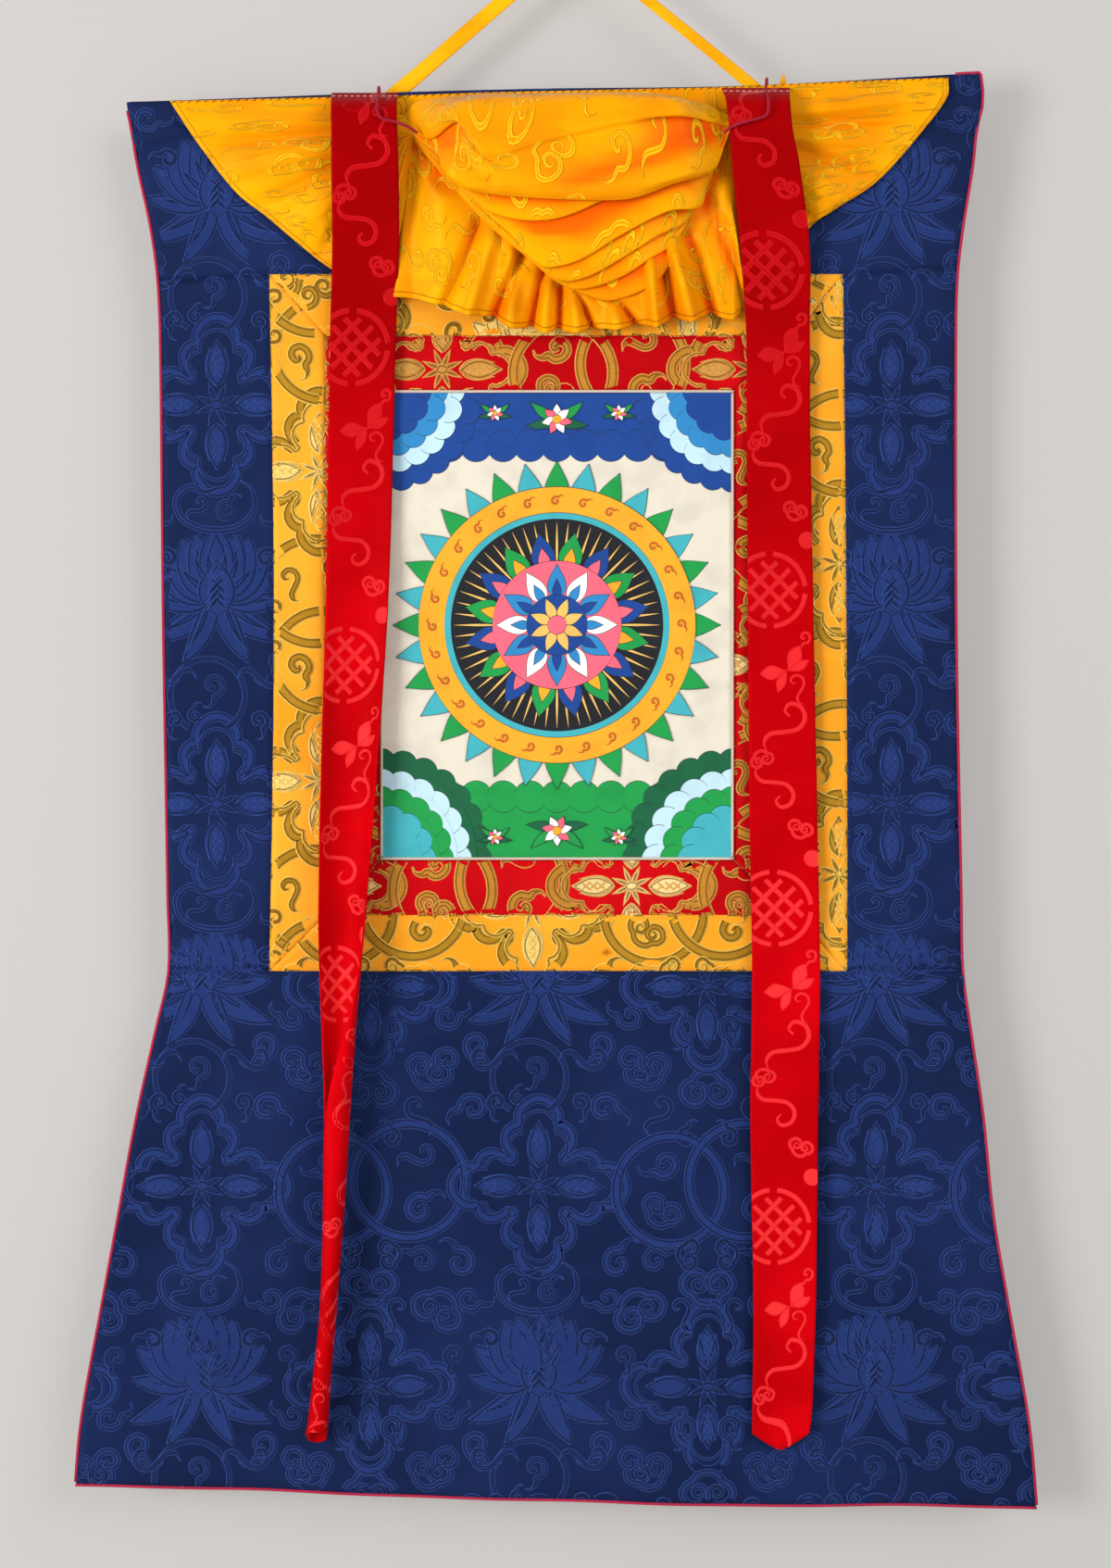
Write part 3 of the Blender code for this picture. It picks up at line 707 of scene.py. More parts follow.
class Surface:
    """A grid of points that a cloth follows, read by its shares across and down."""

    def __init__(self, across: Array, down: Array, points: Array) -> None:
        """Keep the grid.

        Args:
            across: share of each column, from 0 to 1.
            down: share of each row, from 0 to 1.
            points: the places, as rows by columns by 3.
        """
        self.across, self.down, self.points = across, down, points

    def at(self, across: Array, down: Array) -> tuple[Array, Array]:
        """Return the places and the front's normals at some shares."""
        i = np.clip(np.searchsorted(self.across, across, side="right") - 1, 0, len(self.across) - 2)
        j = np.clip(np.searchsorted(self.down, down, side="right") - 1, 0, len(self.down) - 2)
        s = ((across - self.across[i]) / (self.across[i + 1] - self.across[i]))[:, None]
        t = ((down - self.down[j]) / (self.down[j + 1] - self.down[j]))[:, None]
        p00, p01 = self.points[j, i], self.points[j, i + 1]
        p10, p11 = self.points[j + 1, i], self.points[j + 1, i + 1]
        place = mix(mix(p00, p01, s), mix(p10, p11, s), t)
        normal = np.cross(mix(p10 - p00, p11 - p01, s), mix(p01 - p00, p11 - p10, t))
        return place, normal / np.maximum(np.linalg.norm(normal, axis=1, keepdims=True), 1e-12)

    def area(self) -> float:
        """Return the grid's area."""
        p = self.points
        first = np.cross(p[1:, :-1] - p[:-1, :-1], p[:-1, 1:] - p[:-1, :-1])
        second = np.cross(p[1:, :-1] - p[1:, 1:], p[:-1, 1:] - p[1:, 1:])
        return float(np.linalg.norm(first, axis=2).sum() + np.linalg.norm(second, axis=2).sum()) / 2

    def lengths(self) -> tuple[float, float]:
        """Return the longest row and the longest column."""
        rows = np.linalg.norm(np.diff(self.points, axis=1), axis=2).sum(axis=1)
        columns = np.linalg.norm(np.diff(self.points, axis=0), axis=2).sum(axis=0)
        return float(rows.max()), float(columns.max())

    def edge_distance(self) -> Array:
        """Return how far each point is from the grid's nearest edge, along the cloth."""
        down = np.linalg.norm(np.diff(self.points, axis=0), axis=2)
        along = np.linalg.norm(np.diff(self.points, axis=1), axis=2)
        from_top = np.vstack([np.zeros((1, down.shape[1])), np.cumsum(down, axis=0)])
        from_left = np.hstack([np.zeros((along.shape[0], 1)), np.cumsum(along, axis=1)])
        right = from_left[:, -1:] - from_left
        return np.minimum(np.minimum(from_top[-1:] - from_top, 1.0), np.minimum(from_left, right))


def show(piece: bpy.types.Object, material: bpy.types.Material, slot: str, *nodes: str) -> bpy.types.Object:
    """Dress a piece, put it under the root, hide the solids that it stands for and log its name.

    Args:
        piece: the new object.
        material: its finish.
        slot: not used.
        nodes: the solids that it stands for.

    Returns:
        The piece.
    """
    piece.data.materials.clear()
    piece.data.materials.append(material)
    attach(piece, "root")
    if nodes:
        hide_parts(*nodes)
    LOG.info("%s", piece.name)
    return piece


def settled(piece: bpy.types.Object) -> bpy.types.Object:
    """Apply a piece's modifiers, and leave it a plain mesh."""
    evaluated = piece.evaluated_get(bpy.context.evaluated_depsgraph_get())
    mesh = bpy.data.meshes.new_from_object(evaluated)
    name = piece.name
    bpy.data.objects.remove(piece, do_unlink=True)
    mesh.name = name
    return linked(name, mesh)


def put(mesh: bpy.types.Mesh, name: str, values: Array) -> None:
    """Store one number at each point of a mesh."""
    layer = mesh.attributes.new(name, "FLOAT", "POINT")
    layer.data.foreach_set("value", np.asarray(values, np.float32).ravel())


def cloth_piece(name: str, surface: Surface, thickness: float, **marks: Array) -> bpy.types.Object:
    """Make a thick cloth on a surface.

    Args:
        name: the piece's name.
        surface: the middle of the cloth.
        thickness: how thick it is.
        marks: numbers for the finish, one array of the grid's shape for each name.

    Returns:
        A closed mesh with smooth shading.
    """
    rows, columns = surface.points.shape[:2]
    corner = (np.arange(rows - 1)[:, None] * columns + np.arange(columns - 1)[None, :]).ravel()
    faces = np.stack([corner, corner + columns, corner + columns + 1, corner + 1], axis=1)
    mesh = bpy.data.meshes.new(name)
    mesh.from_pydata(surface.points.reshape(-1, 3).tolist(), [], faces.tolist())
    for key, values in marks.items():
        put(mesh, key, values)
    mesh.shade_smooth()
    piece = linked(f"{name}_cloth", mesh)
    thick = piece.modifiers.new("Thickness", "SOLIDIFY")
    thick.thickness = thickness
    thick.offset = 0
    return settled(piece)


def dense_shares(length: float, step: float, seam: bool = True) -> Array:
    """Return shares from 0 to 1 with close ones near both ends, where a seam pulls the cloth back."""
    close = [0.0004, 0.0010, 0.0020, 0.0036] if seam else []
    inner = np.linspace(0.0055, length - 0.0055, max(int(length / step), 2)) if seam else []
    if not seam:
        return np.linspace(0, 1, max(int(length / step), 2) + 1)
    stops = [0.0, *close, *inner, *[length - c for c in reversed(close)], length]
    return np.asarray(stops) / length


# Woven figures -------------------------------------------------------------------------------------


@dataclass(frozen=True)
class Stroke:
    """One band of a woven figure: its middle line, its width along it and its tone from 0 to 1."""

    line: Array
    width: Array
    tone: float = 0.0
    paint: Colour = PLAIN


Motif = list[Stroke]


def turned(line: Array, degrees: float) -> Array:
    """Turn points anticlockwise about the origin."""
    c, s = math.cos(math.radians(degrees)), math.sin(math.radians(degrees))
    return line @ np.array([[c, s], [-s, c]])


def placed(motif: Motif, x: float, z: float, size: float, turn: float = 0, flip: bool = False) -> Motif:
    """Move a motif of unit size to its place in the cloth."""
    mirror = np.array([-1.0 if flip else 1.0, 1.0])
    shift = np.array([x, z])
    return [
        Stroke(turned(s.line * mirror, turn) * size + shift, s.width * size, s.tone, s.paint) for s in motif
    ]


def drawn(
    points: Sequence[tuple[float, float]], width: float, tone: float = 0.0, steps: int = 26,
    head: float = 0.45, tail: float = 0.25,
) -> Stroke:
    """Draw a band through some points, narrowing to shares head and tail of its width at its ends."""
    spots = np.asarray(points, float)
    at = np.linspace(0, len(spots) - 1, steps)
    marks = np.arange(len(spots))
    line = np.stack([curve_through(marks, spots[:, k], at) for k in range(2)], axis=1)
    t = np.linspace(0, 1, steps)
    profile = mix(head, 1, steady(t / 0.2)) * mix(tail, 1, steady((1 - t) / 0.3))
    return Stroke(line, width * profile, tone)


def ring(
    x: float, z: float, radius: float, width: float, tone: float = 0.0, steps: int = 48,
    start: float = 0.0, sweep: float = 360.0,
) -> Stroke:
    """Draw a circle or an arc of even width."""
    angle = np.radians(start + np.linspace(0, sweep, steps + 1))
    line = np.stack([x + radius * np.cos(angle), z + radius * np.sin(angle)], axis=1)
    return Stroke(line, np.full(steps + 1, width), tone)


def petal(
    x: float, z: float, angle: float, length: float, width: float, tone: float = 0.0,
    bend: float = 0.0, belly: float = 0.8, steps: int = 12, paint: Colour = PLAIN, full: float = 1.0,
) -> Stroke:
    """Draw a leaf from its base. bend turns its tip aside, belly below 1 widens its foot, full its tip."""
    t = np.linspace(0, 1, steps + 1)
    line = np.stack([t * length, bend * length * t**2], axis=1)
    profile = np.sin(np.pi * np.clip(t, 0.02, 0.98) ** belly) ** full
    return Stroke(turned(line, angle) + np.array([x, z]), width * profile, tone, paint)


def disc(
    x: float, z: float, radius: float, tone: float = 0.0, paint: Colour = PLAIN, steps: int = 24
) -> Stroke:
    """Draw a filled circle."""
    t = np.linspace(-0.999, 0.999, steps + 1)
    line = np.stack([x + radius * np.sin(t * np.pi / 2), np.full(steps + 1, z)], axis=1)
    return Stroke(line, 2 * radius * np.cos(t * np.pi / 2), tone, paint)


def curl(width: float = 0.26) -> Motif:
    """A hook that winds out of a spiral and ends in a wavy tail."""
    return [
        drawn(
            [(0.16, 0.16), (0.02, 0.06), (-0.10, 0.20), (0.02, 0.42), (0.30, 0.46), (0.52, 0.22),
             (0.44, -0.12), (0.16, -0.32), (-0.16, -0.26), (-0.36, -0.44), (-0.66, -0.46), (-0.84, -0.26)],
            width, steps=34,
        )
    ]


def cloud(width: float = 0.25) -> Motif:
    """Two spirals joined over a lobed top."""
    half = [(-0.22, 0.02), (-0.34, -0.10), (-0.50, 0.04), (-0.38, 0.26), (-0.12, 0.20), (-0.06, -0.12),
            (-0.30, -0.36), (-0.66, -0.30), (-0.86, 0.02), (-0.72, 0.32), (-0.52, 0.42), (-0.34, 0.66)]
    path = half + [(0.0, 0.76)] + [(-x, z) for x, z in reversed(half)]
    return [drawn(path, width, steps=58, head=0.4, tail=0.4)]


def vine(width: float = 0.2) -> Motif:
    """A stem in an S with a curl at one end."""
    return [
        drawn(
            [(-1.0, 0.10), (-0.76, 0.38), (-0.44, 0.34), (-0.20, 0.02), (0.08, -0.32), (0.46, -0.38),
             (0.72, -0.12), (0.66, 0.22), (0.40, 0.26), (0.32, 0.06)],
            width, steps=34, head=0.2, tail=0.5,
        )
    ]


def paisley(width: float = 0.15) -> Motif:
    """A closed drop with a rope rim, a curl inside and a curl at its tail."""
    rim = [(0.10, 0.46), (-0.30, 0.34), (-0.62, 0.46), (-0.92, 0.20), (-0.84, -0.22), (-0.44, -0.48),
           (0.10, -0.54), (0.60, -0.40), (0.88, 0.00), (0.80, 0.42), (0.52, 0.62)]
    return [
        drawn(rim, width, steps=40, head=0.5, tail=0.3),
        *placed(curl(0.30), 0.26, -0.02, 0.46, 200),
        *placed(vine(0.26), -0.44, -0.04, 0.34, 60),
    ]


def lattice(x: float, z: float, reach: float, rise: float, angle: float, tone: float) -> Motif:
    """A cone of small crossed threads that points along an angle."""
    strokes = []
    for k in range(3):
        for side in (-1, 1):
            start = turned(np.array([[mix(0.0, reach * 0.62, k / 2), side * rise]]), angle)[0]
            heading = angle - side * 42
            strokes.append(petal(x + start[0], z + start[1], heading, rise * 3.0, rise * 0.5, tone, steps=6))
    return strokes


def bud(angle: float, tone: float) -> Motif:
    """One arm of the flower in a medallion: a scaled bud between two bent petals."""
    base = turned(np.array([[0.20, 0.0]]), angle)[0]
    strokes = [
        petal(*base, angle + 34, 0.40, 0.11, tone, bend=-0.42),
        petal(*base, angle - 34, 0.40, 0.11, tone, bend=0.42),
        petal(*base, angle, 0.52, 0.24, tone, belly=0.9),
    ]
    spot = turned(np.array([[0.30, 0.0]]), angle)[0]
    return strokes + lattice(spot[0], spot[1], 0.30, 0.055, angle, tone)


def medallion(width: float = 0.10, tone: float = 0.45) -> Motif:
    """Four lobed arms round a crossed flower."""
    arm = [(0.33, 0.27), (0.40, 0.33), (0.51, 0.37), (0.61, 0.34), (0.665, 0.27), (0.68, 0.215),
           (0.77, 0.225), (0.87, 0.175), (0.94, 0.09), (0.96, 0.0)]
    whole = arm + [(x, -z) for x, z in reversed(arm[:-1])]
    path = []
    for quarter in range(4):
        path += [tuple(p) for p in turned(np.asarray(whole), -90 * quarter)]
    path.append(path[0])
    strokes = [
        drawn(path, width, steps=150, head=1.0, tail=1.0),
        drawn([(x * 0.86, z * 0.86) for x, z in path], width * 0.34, steps=120, head=1.0, tail=1.0),
    ]
    for k in range(4):
        strokes += bud(90 * k, tone)
    for k in range(8):
        strokes.append(petal(0, 0, 22.5 + 45 * k, 0.26, 0.07, tone, steps=6))
    return strokes + [disc(0, 0, 0.07, tone, steps=10)]


def lotus(tone: float = 0.45) -> Motif:
    """A spread flower: leaves below, bent petals at the sides and a scaled heart."""
    strokes = []
    leaves = (
        (-60, 1.00, 0.36, 0.50), (-82, 0.98, 0.32, 0.28), (-22, 0.86, 0.34, 0.40),
        (6, 0.88, 0.44, 0.40), (28, 0.86, 0.52, 0.34), (50, 0.88, 0.52, 0.24), (70, 0.90, 0.46, 0.10),
    )
    for angle, length, width, bend in leaves:
        for side in (1, -1):
            heading = angle if side > 0 else 180 - angle
            bent = bend * side
            strokes.append(petal(0.06 * side, -0.04, heading, length, width, tone, bend=bent, full=0.6))
            strokes.append(petal(0.10 * side, -0.04, heading, length * 0.84, width * 0.3, tone, bend=bent))
    strokes.append(petal(0, 0.10, 90, 0.86, 0.52, tone, full=0.7))
    strokes.append(petal(0, 0.28, 90, 0.58, 0.26, tone))
    for angle, length in ((30, 0.66), (54, 0.70), (72, 0.70)):
        for side in (1, -1):
            heading = angle if side > 0 else 180 - angle
            strokes.append(petal(0.03 * side, -0.05, heading, length, 0.12, tone, bend=0.2 * side, steps=8))
    strokes.append(petal(0, -0.30, 90, 0.78, 0.54, tone, full=0.8))
    strokes += lattice(0, -0.10, 0.60, 0.10, 90, tone)
    return strokes + lattice(0, -0.24, 0.34, 0.14, 90, tone)


def interlocked(width: float = 0.13) -> Motif:
    """Two rope rings that pass through each other, with curls inside."""
    return [
        ring(-0.52, -0.06, 0.76, width, steps=60),
        ring(0.54, 0.08, 0.80, width, steps=60),
        *placed(curl(0.3), -0.66, 0.28, 0.36, -20),
        *placed(cloud(0.3), -0.62, -0.32, 0.32, 150),
        *placed(curl(0.3), 0.74, -0.26, 0.38, 180),
        *placed(vine(0.3), 0.66, 0.40, 0.30, 30),
    ]


def rope_circle() -> Motif:
    """An arc of rope that holds two curls."""
    return [
        ring(0, 0, 1.0, 0.14, start=-60, sweep=300),
        *placed(curl(0.26), 0.16, 0.16, 0.60, 40),
        *placed(curl(0.30), -0.34, -0.46, 0.36, 220),
    ]


class CellItem(NamedTuple):
    """One motif of the repeat: its maker, its place and size in metres, and its turn in degrees."""

    make: Callable[[], Motif]
    x: float
    z: float
    size: float
    turn: float = 0.0
    flip: bool = False


CELL_WIDTH = 0.218
CELL_HEIGHT = 0.258
MAIN_ITEMS = named(
    CellItem,
    (medallion, 0.0, 0.0, 0.059), (medallion, 0.109, -0.129, 0.056), (lotus, 0.0, -0.122, 0.046),
    (interlocked, 0.109, 0.0, 0.046), (rope_circle, -0.006, 0.07, 0.024), (paisley, 0.0, -0.066, 0.028),
    (cloud, 0.109, 0.06, 0.019), (cloud, 0.109, -0.062, 0.019, 180),
)
MIRRORED_ITEMS = named(
    CellItem,
    (curl, 0.038, 0.088, 0.018, 10), (cloud, 0.07, 0.076, 0.0165, 200), (curl, 0.046, 0.05, 0.018, 120),
    (curl, 0.094, 0.1, 0.015, 40), (vine, 0.078, 0.046, 0.015, 70), (curl, 0.052, -0.046, 0.018, 200),
    (curl, 0.042, -0.074, 0.016, -30), (curl, 0.078, -0.046, 0.016, 160),
    (cloud, 0.066, -0.082, 0.019, 30), (curl, 0.056, -0.112, 0.013, 60),
    (vine, 0.094, -0.082, 0.013, 120), (curl, 0.056, -0.148, 0.016, -60),
    (vine, 0.03, -0.176, 0.017, 10), (curl, 0.062, -0.178, 0.0165, 100),
    (curl, 0.028, 0.052, 0.012, 60), (curl, 0.096, 0.034, 0.012, 210),
    (curl, 0.034, -0.098, 0.012, 150), (cloud, 0.098, -0.044, 0.011, 80),
)


class Brocade:
    """The repeat that the navy, gold and red cloths share, laid over a region of the front view."""

    def __init__(self, x: float, z: float, scale: float = 1.0, turn: float = 0.0, tone: float = 0.45,
                 bold: float = 1.0) -> None:
        """Set where a medallion falls, the repeat's scale and turn, its bright tone and how bold it is."""
        self.origin = np.array([x, z])
        self.scale, self.turn, self.tone, self.bold = scale, turn, tone, bold
        cell: Motif = []
        for item in MAIN_ITEMS:
            cell += placed(item.make(), *item[1:])
        for item in MIRRORED_ITEMS:
            cell += placed(item.make(), *item[1:])
            cell += placed(item.make(), -item.x, item.z, item.size, -item.turn, not item.flip)
        self.cell = cell

    def over(self, low: Array, high: Array) -> Motif:
        """Return the strokes that reach into a box of the front view."""
        strokes = []
        reach = 4
        for i in range(-reach, reach + 1):
            for j in range(-reach, reach + 1):
                shift = np.array([i * CELL_WIDTH, j * CELL_HEIGHT])
                for s in self.cell:
                    line = turned(s.line + shift, self.turn) * self.scale + self.origin
                    pad = s.width.max() * self.scale
                    if (line.max(0) + pad > low).all() and (line.min(0) - pad < high).all():
                        tone = min(s.tone * self.tone / 0.45, 1.0)
                        bold = self.scale * (self.bold if s.tone == 0 else 1.0)
                        strokes.append(Stroke(line, s.width * bold, tone, s.paint))
        return strokes


LAYER_STEP = 0.0000025
WIDEST_LANE = 0.014
TRIM_DISTANCE = 1e-7


def layers(strokes: Motif) -> list[int]:
    """Number the strokes so that each lies above every earlier one that it may cross."""
    low = np.array([(s.line - s.width.max() / 2).min(0) for s in strokes])
    high = np.array([(s.line + s.width.max() / 2).max(0) for s in strokes])
    numbers = np.zeros(len(strokes), int)
    for i in range(1, len(strokes)):
        crossed = ((low[:i] < high[i]) & (high[:i] > low[i])).all(1)
        numbers[i] = numbers[:i][crossed].max() + 1 if crossed.any() else 0
    return numbers.tolist()


def figures_piece(
    name: str, strokes: Motif, surface: Surface, locate: Callable[[Array, Array], tuple[Array, Array]],
    lift: float, side: float = 1.0, margin: float = 0.0, step: float = LAYER_STEP, lane: float = WIDEST_LANE,
) -> bpy.types.Object:
    """Lay strokes on a cloth and trim them at its edges.

    Args:
        name: the piece's name.
        strokes: the figures, in the flat coordinates that locate takes.
        surface: the cloth's middle.
        locate: turns flat coordinates into shares across and down.
        lift: how far off the middle of the cloth they lie.
        side: 1 for the front and -1 for the back.
        margin: the share that is left bare at each edge.
        step: how far apart the layers of strokes lie.
        lane: the widest quad across a stroke.

    Returns:
        The mesh of all the strokes.
    """
    points, faces, marks, first = [], [], [], 0
    for layer_number, s in zip(layers(strokes), strokes):
        slope = np.gradient(s.line, axis=0)
        slope /= np.maximum(np.linalg.norm(slope, axis=1, keepdims=True), 1e-9)
        normal = np.stack([-slope[:, 1], slope[:, 0]], axis=1)
        count = len(s.line)
        lanes = 1 + math.ceil(s.width.max() / lane)
        run = run_along(s.line)
        across = np.linspace(1, -1, lanes)
        offset = normal[:, None] * (s.width[:, None] / 2 * across)[:, :, None]
        spread = (s.line[:, None] + offset).reshape(-1, 2)
        points.append(np.column_stack([spread, np.full(lanes * count, layer_number * step)]))
        shade = np.tile([s.tone, *s.paint], (lanes * count, 1))
        half = np.repeat(s.width / 2, lanes)
        marks.append(np.column_stack([np.repeat(run, lanes), np.tile(across, count), half, shade]))
        start = (first + lanes * np.arange(count - 1)[:, None] + np.arange(lanes - 1)).ravel()
        faces.append(np.stack([start, start + 1, start + 1 + lanes, start + lanes], axis=1))
        first += lanes * count
    flat, mark, quads = np.vstack(points), np.vstack(marks), np.vstack(faces)
    a, d = locate(flat[:, 0], flat[:, 1])
    mesh = bpy.data.meshes.new(name)
    mesh.from_pydata(np.column_stack([a, d, flat[:, 2]]).tolist(), [], quads.tolist())
    for column, key in enumerate(("along", "across", "half", "tone", "red", "green", "blue")):
        put(mesh, key, mark[:, column])
    trim = bmesh.new()
    trim.from_mesh(mesh)
    for spot, away in (((margin, 0, 0), (-1, 0, 0)), ((1 - margin, 0, 0), (1, 0, 0)),
                       ((0, margin, 0), (0, -1, 0)), ((0, 1 - margin, 0), (0, 1, 0))):
        whole = trim.verts[:] + trim.edges[:] + trim.faces[:]
        bmesh.ops.bisect_plane(
            trim, geom=whole, dist=TRIM_DISTANCE, plane_co=spot, plane_no=away, clear_outer=True
        )
    trim.to_mesh(mesh)
    trim.free()
    shares = np.empty(len(mesh.vertices) * 3)
    mesh.vertices.foreach_get("co", shares)
    shares = shares.reshape(-1, 3)
    place, normal = surface.at(shares[:, 0], shares[:, 1])
    place = place + normal * side * (lift + shares[:, 2:])
    mesh.vertices.foreach_set("co", place.ravel())
    finish_marks(mesh)
    if side < 0:
        mesh.flip_normals()
    mesh.shade_smooth()
    mesh.update()
    return linked(name, mesh)


def finish_marks(mesh: bpy.types.Mesh) -> None:
    """Turn the strokes' stored numbers into a UV layer and a paint colour."""
    count = len(mesh.vertices)
    read = {}
    for key in ("along", "across", "red", "green", "blue"):
        values = np.empty(count, np.float32)
        mesh.attributes[key].data.foreach_get("value", values)
        read[key] = values
    corners = np.empty(len(mesh.loops), np.int32)
    mesh.loops.foreach_get("vertex_index", corners)
    layer = mesh.uv_layers.new(name="UVMap")
    layer.data.foreach_set("uv", np.column_stack([read["along"][corners], read["across"][corners]]).ravel())
    colours = np.column_stack([read["red"], read["green"], read["blue"], np.ones(count)]).astype(np.float32)
    mesh.attributes.new("paint", "FLOAT_COLOR", "POINT").data.foreach_set("color", colours.ravel())
    for key in read:
        mesh.attributes.remove(mesh.attributes[key])


# Sewn frame ----------------------------------------------------------------------------------------

HALF_SEAM = SEAM_GAP / 2
SEAM_DIP = 0.0013
SEAM_DIP_WIDTH = 0.0016
FIGURE_LIFT = 0.00014
BORDER_REPEAT = 0.92
FAINT, BRIGHT, BOLD = 0.1, 1.0, 1.35
SIDES = ("top", "bottom", "left", "right")


def seam_dip(shares: Array, length: float) -> Array:
    """Return how far a seam at either end pulls the cloth back."""
    near = np.minimum(shares, 1 - shares) * length
    return SEAM_DIP * np.exp(-((near / SEAM_DIP_WIDTH) ** 2))


class Patch:
    """A flat piece of the frame: its shape in the front view and its cloth on the drape."""

    def place(self, across: Array, down: Array) -> tuple[Array, Array]:
        """Return the front view's x and z at some shares."""
        raise NotImplementedError

    def locate(self, x: Array, z: Array) -> tuple[Array, Array]:
        """Return the shares at some places of the front view."""
        raise NotImplementedError

    def surface(self, width: float, height: float, step: float, seamed: bool = True) -> Surface:
        """Return the middle of the cloth, a little pulled back along its seams if it has them."""
        a, d = dense_shares(width, step), dense_shares(height, step)
        across, down = np.meshgrid(a, d)
        x, z = self.place(across, down)
        y = DRAPE.surface(x, z)
        if seamed:
            y = y + seam_dip(across, width) + seam_dip(down, height)
        return Surface(a, d, np.stack([x, y, z], axis=2))


@dataclass
class Quad(Patch):
    """A patch between four edges. The sides depend on height, the top and foot on width."""

    left: Callable[[Array], Array]
    right: Callable[[Array], Array]
    top: Callable[[Array], Array]
    foot: Callable[[Array], Array]

    def place(self, across: Array, down: Array) -> tuple[Array, Array]:
        """Return the front view's x and z at some shares."""
        x = mix(self.left(np.full_like(across, -0.6)), self.right(np.full_like(across, -0.6)), across)
        for _ in range(3):
            z = mix(self.top(x) - HALF_SEAM, self.foot(x) + HALF_SEAM, down)
            x = mix(self.left(z) + HALF_SEAM, self.right(z) - HALF_SEAM, across)
        return x, z

    def locate(self, x: Array, z: Array) -> tuple[Array, Array]:
        """Return the shares at some places of the front view."""
        left, right = self.left(z) + HALF_SEAM, self.right(z) - HALF_SEAM
        top, foot = self.top(x) - HALF_SEAM, self.foot(x) + HALF_SEAM
        return (x - left) / (right - left), (z - top) / (foot - top)


@dataclass
class Mitre(Patch):
    """One strip of a border, cut at 45 degrees at both ends."""

    outer: Rectangle
    inner: Rectangle
    side: str
    outer_edge: Callable[[str, Array], Array]

    @property
    def level(self) -> bool:
        """Return whether the strip lies across the cloth."""
        return self.side in ("top", "bottom")

    @property
    def sign(self) -> int:
        """Return 1 when the strip's outer edge comes first, at the top or the left."""
        return 1 if self.side in ("top", "left") else -1

    def width(self, edge: Array | float) -> tuple[Array, Array]:
        """Return where the strip's width starts, given its outer edge, and where it ends."""
        inset = self.sign * HALF_SEAM * (1 if not self.level else -1)
        return edge + inset, getattr(self.inner, self.side) - inset

    def ends(self, share: Array, z: Array) -> tuple[Array, Array]:
        """Return the mitred ends, left and right or top and foot, at a share of the width."""
        if self.level:
            left = mix(self.outer_edge("left", z), self.inner.left, share) + 2 * HALF_SEAM
            return left, mix(self.outer_edge("right", z), self.inner.right, share) - 2 * HALF_SEAM
        top = mix(self.outer.top, self.inner.top, share) - 2 * HALF_SEAM
        return top, mix(self.outer.bottom, self.inner.bottom, share) + 2 * HALF_SEAM

    def place(self, across: Array, down: Array) -> tuple[Array, Array]:
        """Return the front view's x and z at some shares."""
        share, along = (down, across) if self.level else (across, down)
        share = share if self.sign > 0 else 1 - share
        if self.level:
            z = mix(*self.width(getattr(self.outer, self.side)), share)
            return mix(*self.ends(share, z), along), z
        z = mix(*self.ends(share, share), along)
        return mix(*self.width(self.outer_edge(self.side, z)), share), z

    def locate(self, x: Array, z: Array) -> tuple[Array, Array]:
        """Return the shares at some places of the front view."""
        at, along = (z, x) if self.level else (x, z)
        edge = getattr(self.outer, self.side) if self.level else self.outer_edge(self.side, z)
        start, end = self.width(edge)
        share = (at - start) / (end - start)
        low, high = self.ends(share, z)
        run = (along - low) / (high - low)
        share = share if self.sign > 0 else 1 - share
        return (run, share) if self.level else (share, run)


def declare_sheet(
    piece: bpy.types.Object, surface: Surface, held: str, rests_on: Sequence[str], *others: bpy.types.Object
) -> None:
    """Log the size a cloth was cut to, from its grid's longest row and column and its area."""
    width, length = surface.lengths()
    width, length = max(width, 0.01), max(length, 0.01)
    area = min(surface.area(), width * length)
    LOG.info("%s: flat %.4f by %.4f m, area %.5f", piece.name, width, length, area)


@dataclass
class PatchPiece:
    """A patch with its brocade figures."""

    name: str
    patch: Patch
    size: tuple[float, float]
    ground: bpy.types.Material
    figure: bpy.types.Material
    slot: str
    brocade: Brocade
    step: float = 0.0042

    def build(self) -> None:
        """Make the cloth and its figures."""
        surface = self.patch.surface(*self.size, self.step)
        cloth = show(cloth_piece(self.name, surface, LINED_CLOTH), self.ground, self.slot, self.name)
        seen = surface.points.reshape(-1, 3)[:, [0, 2]]
        strokes = self.brocade.over(seen.min(0), seen.max(0))
        lift = LINED_CLOTH / 2 + FIGURE_LIFT
        figures = figures_piece(f"{self.name}_figures", strokes, surface, self.patch.locate, lift)
        declare_sheet(cloth, surface, "hung", [], show(figures, self.figure, self.slot))


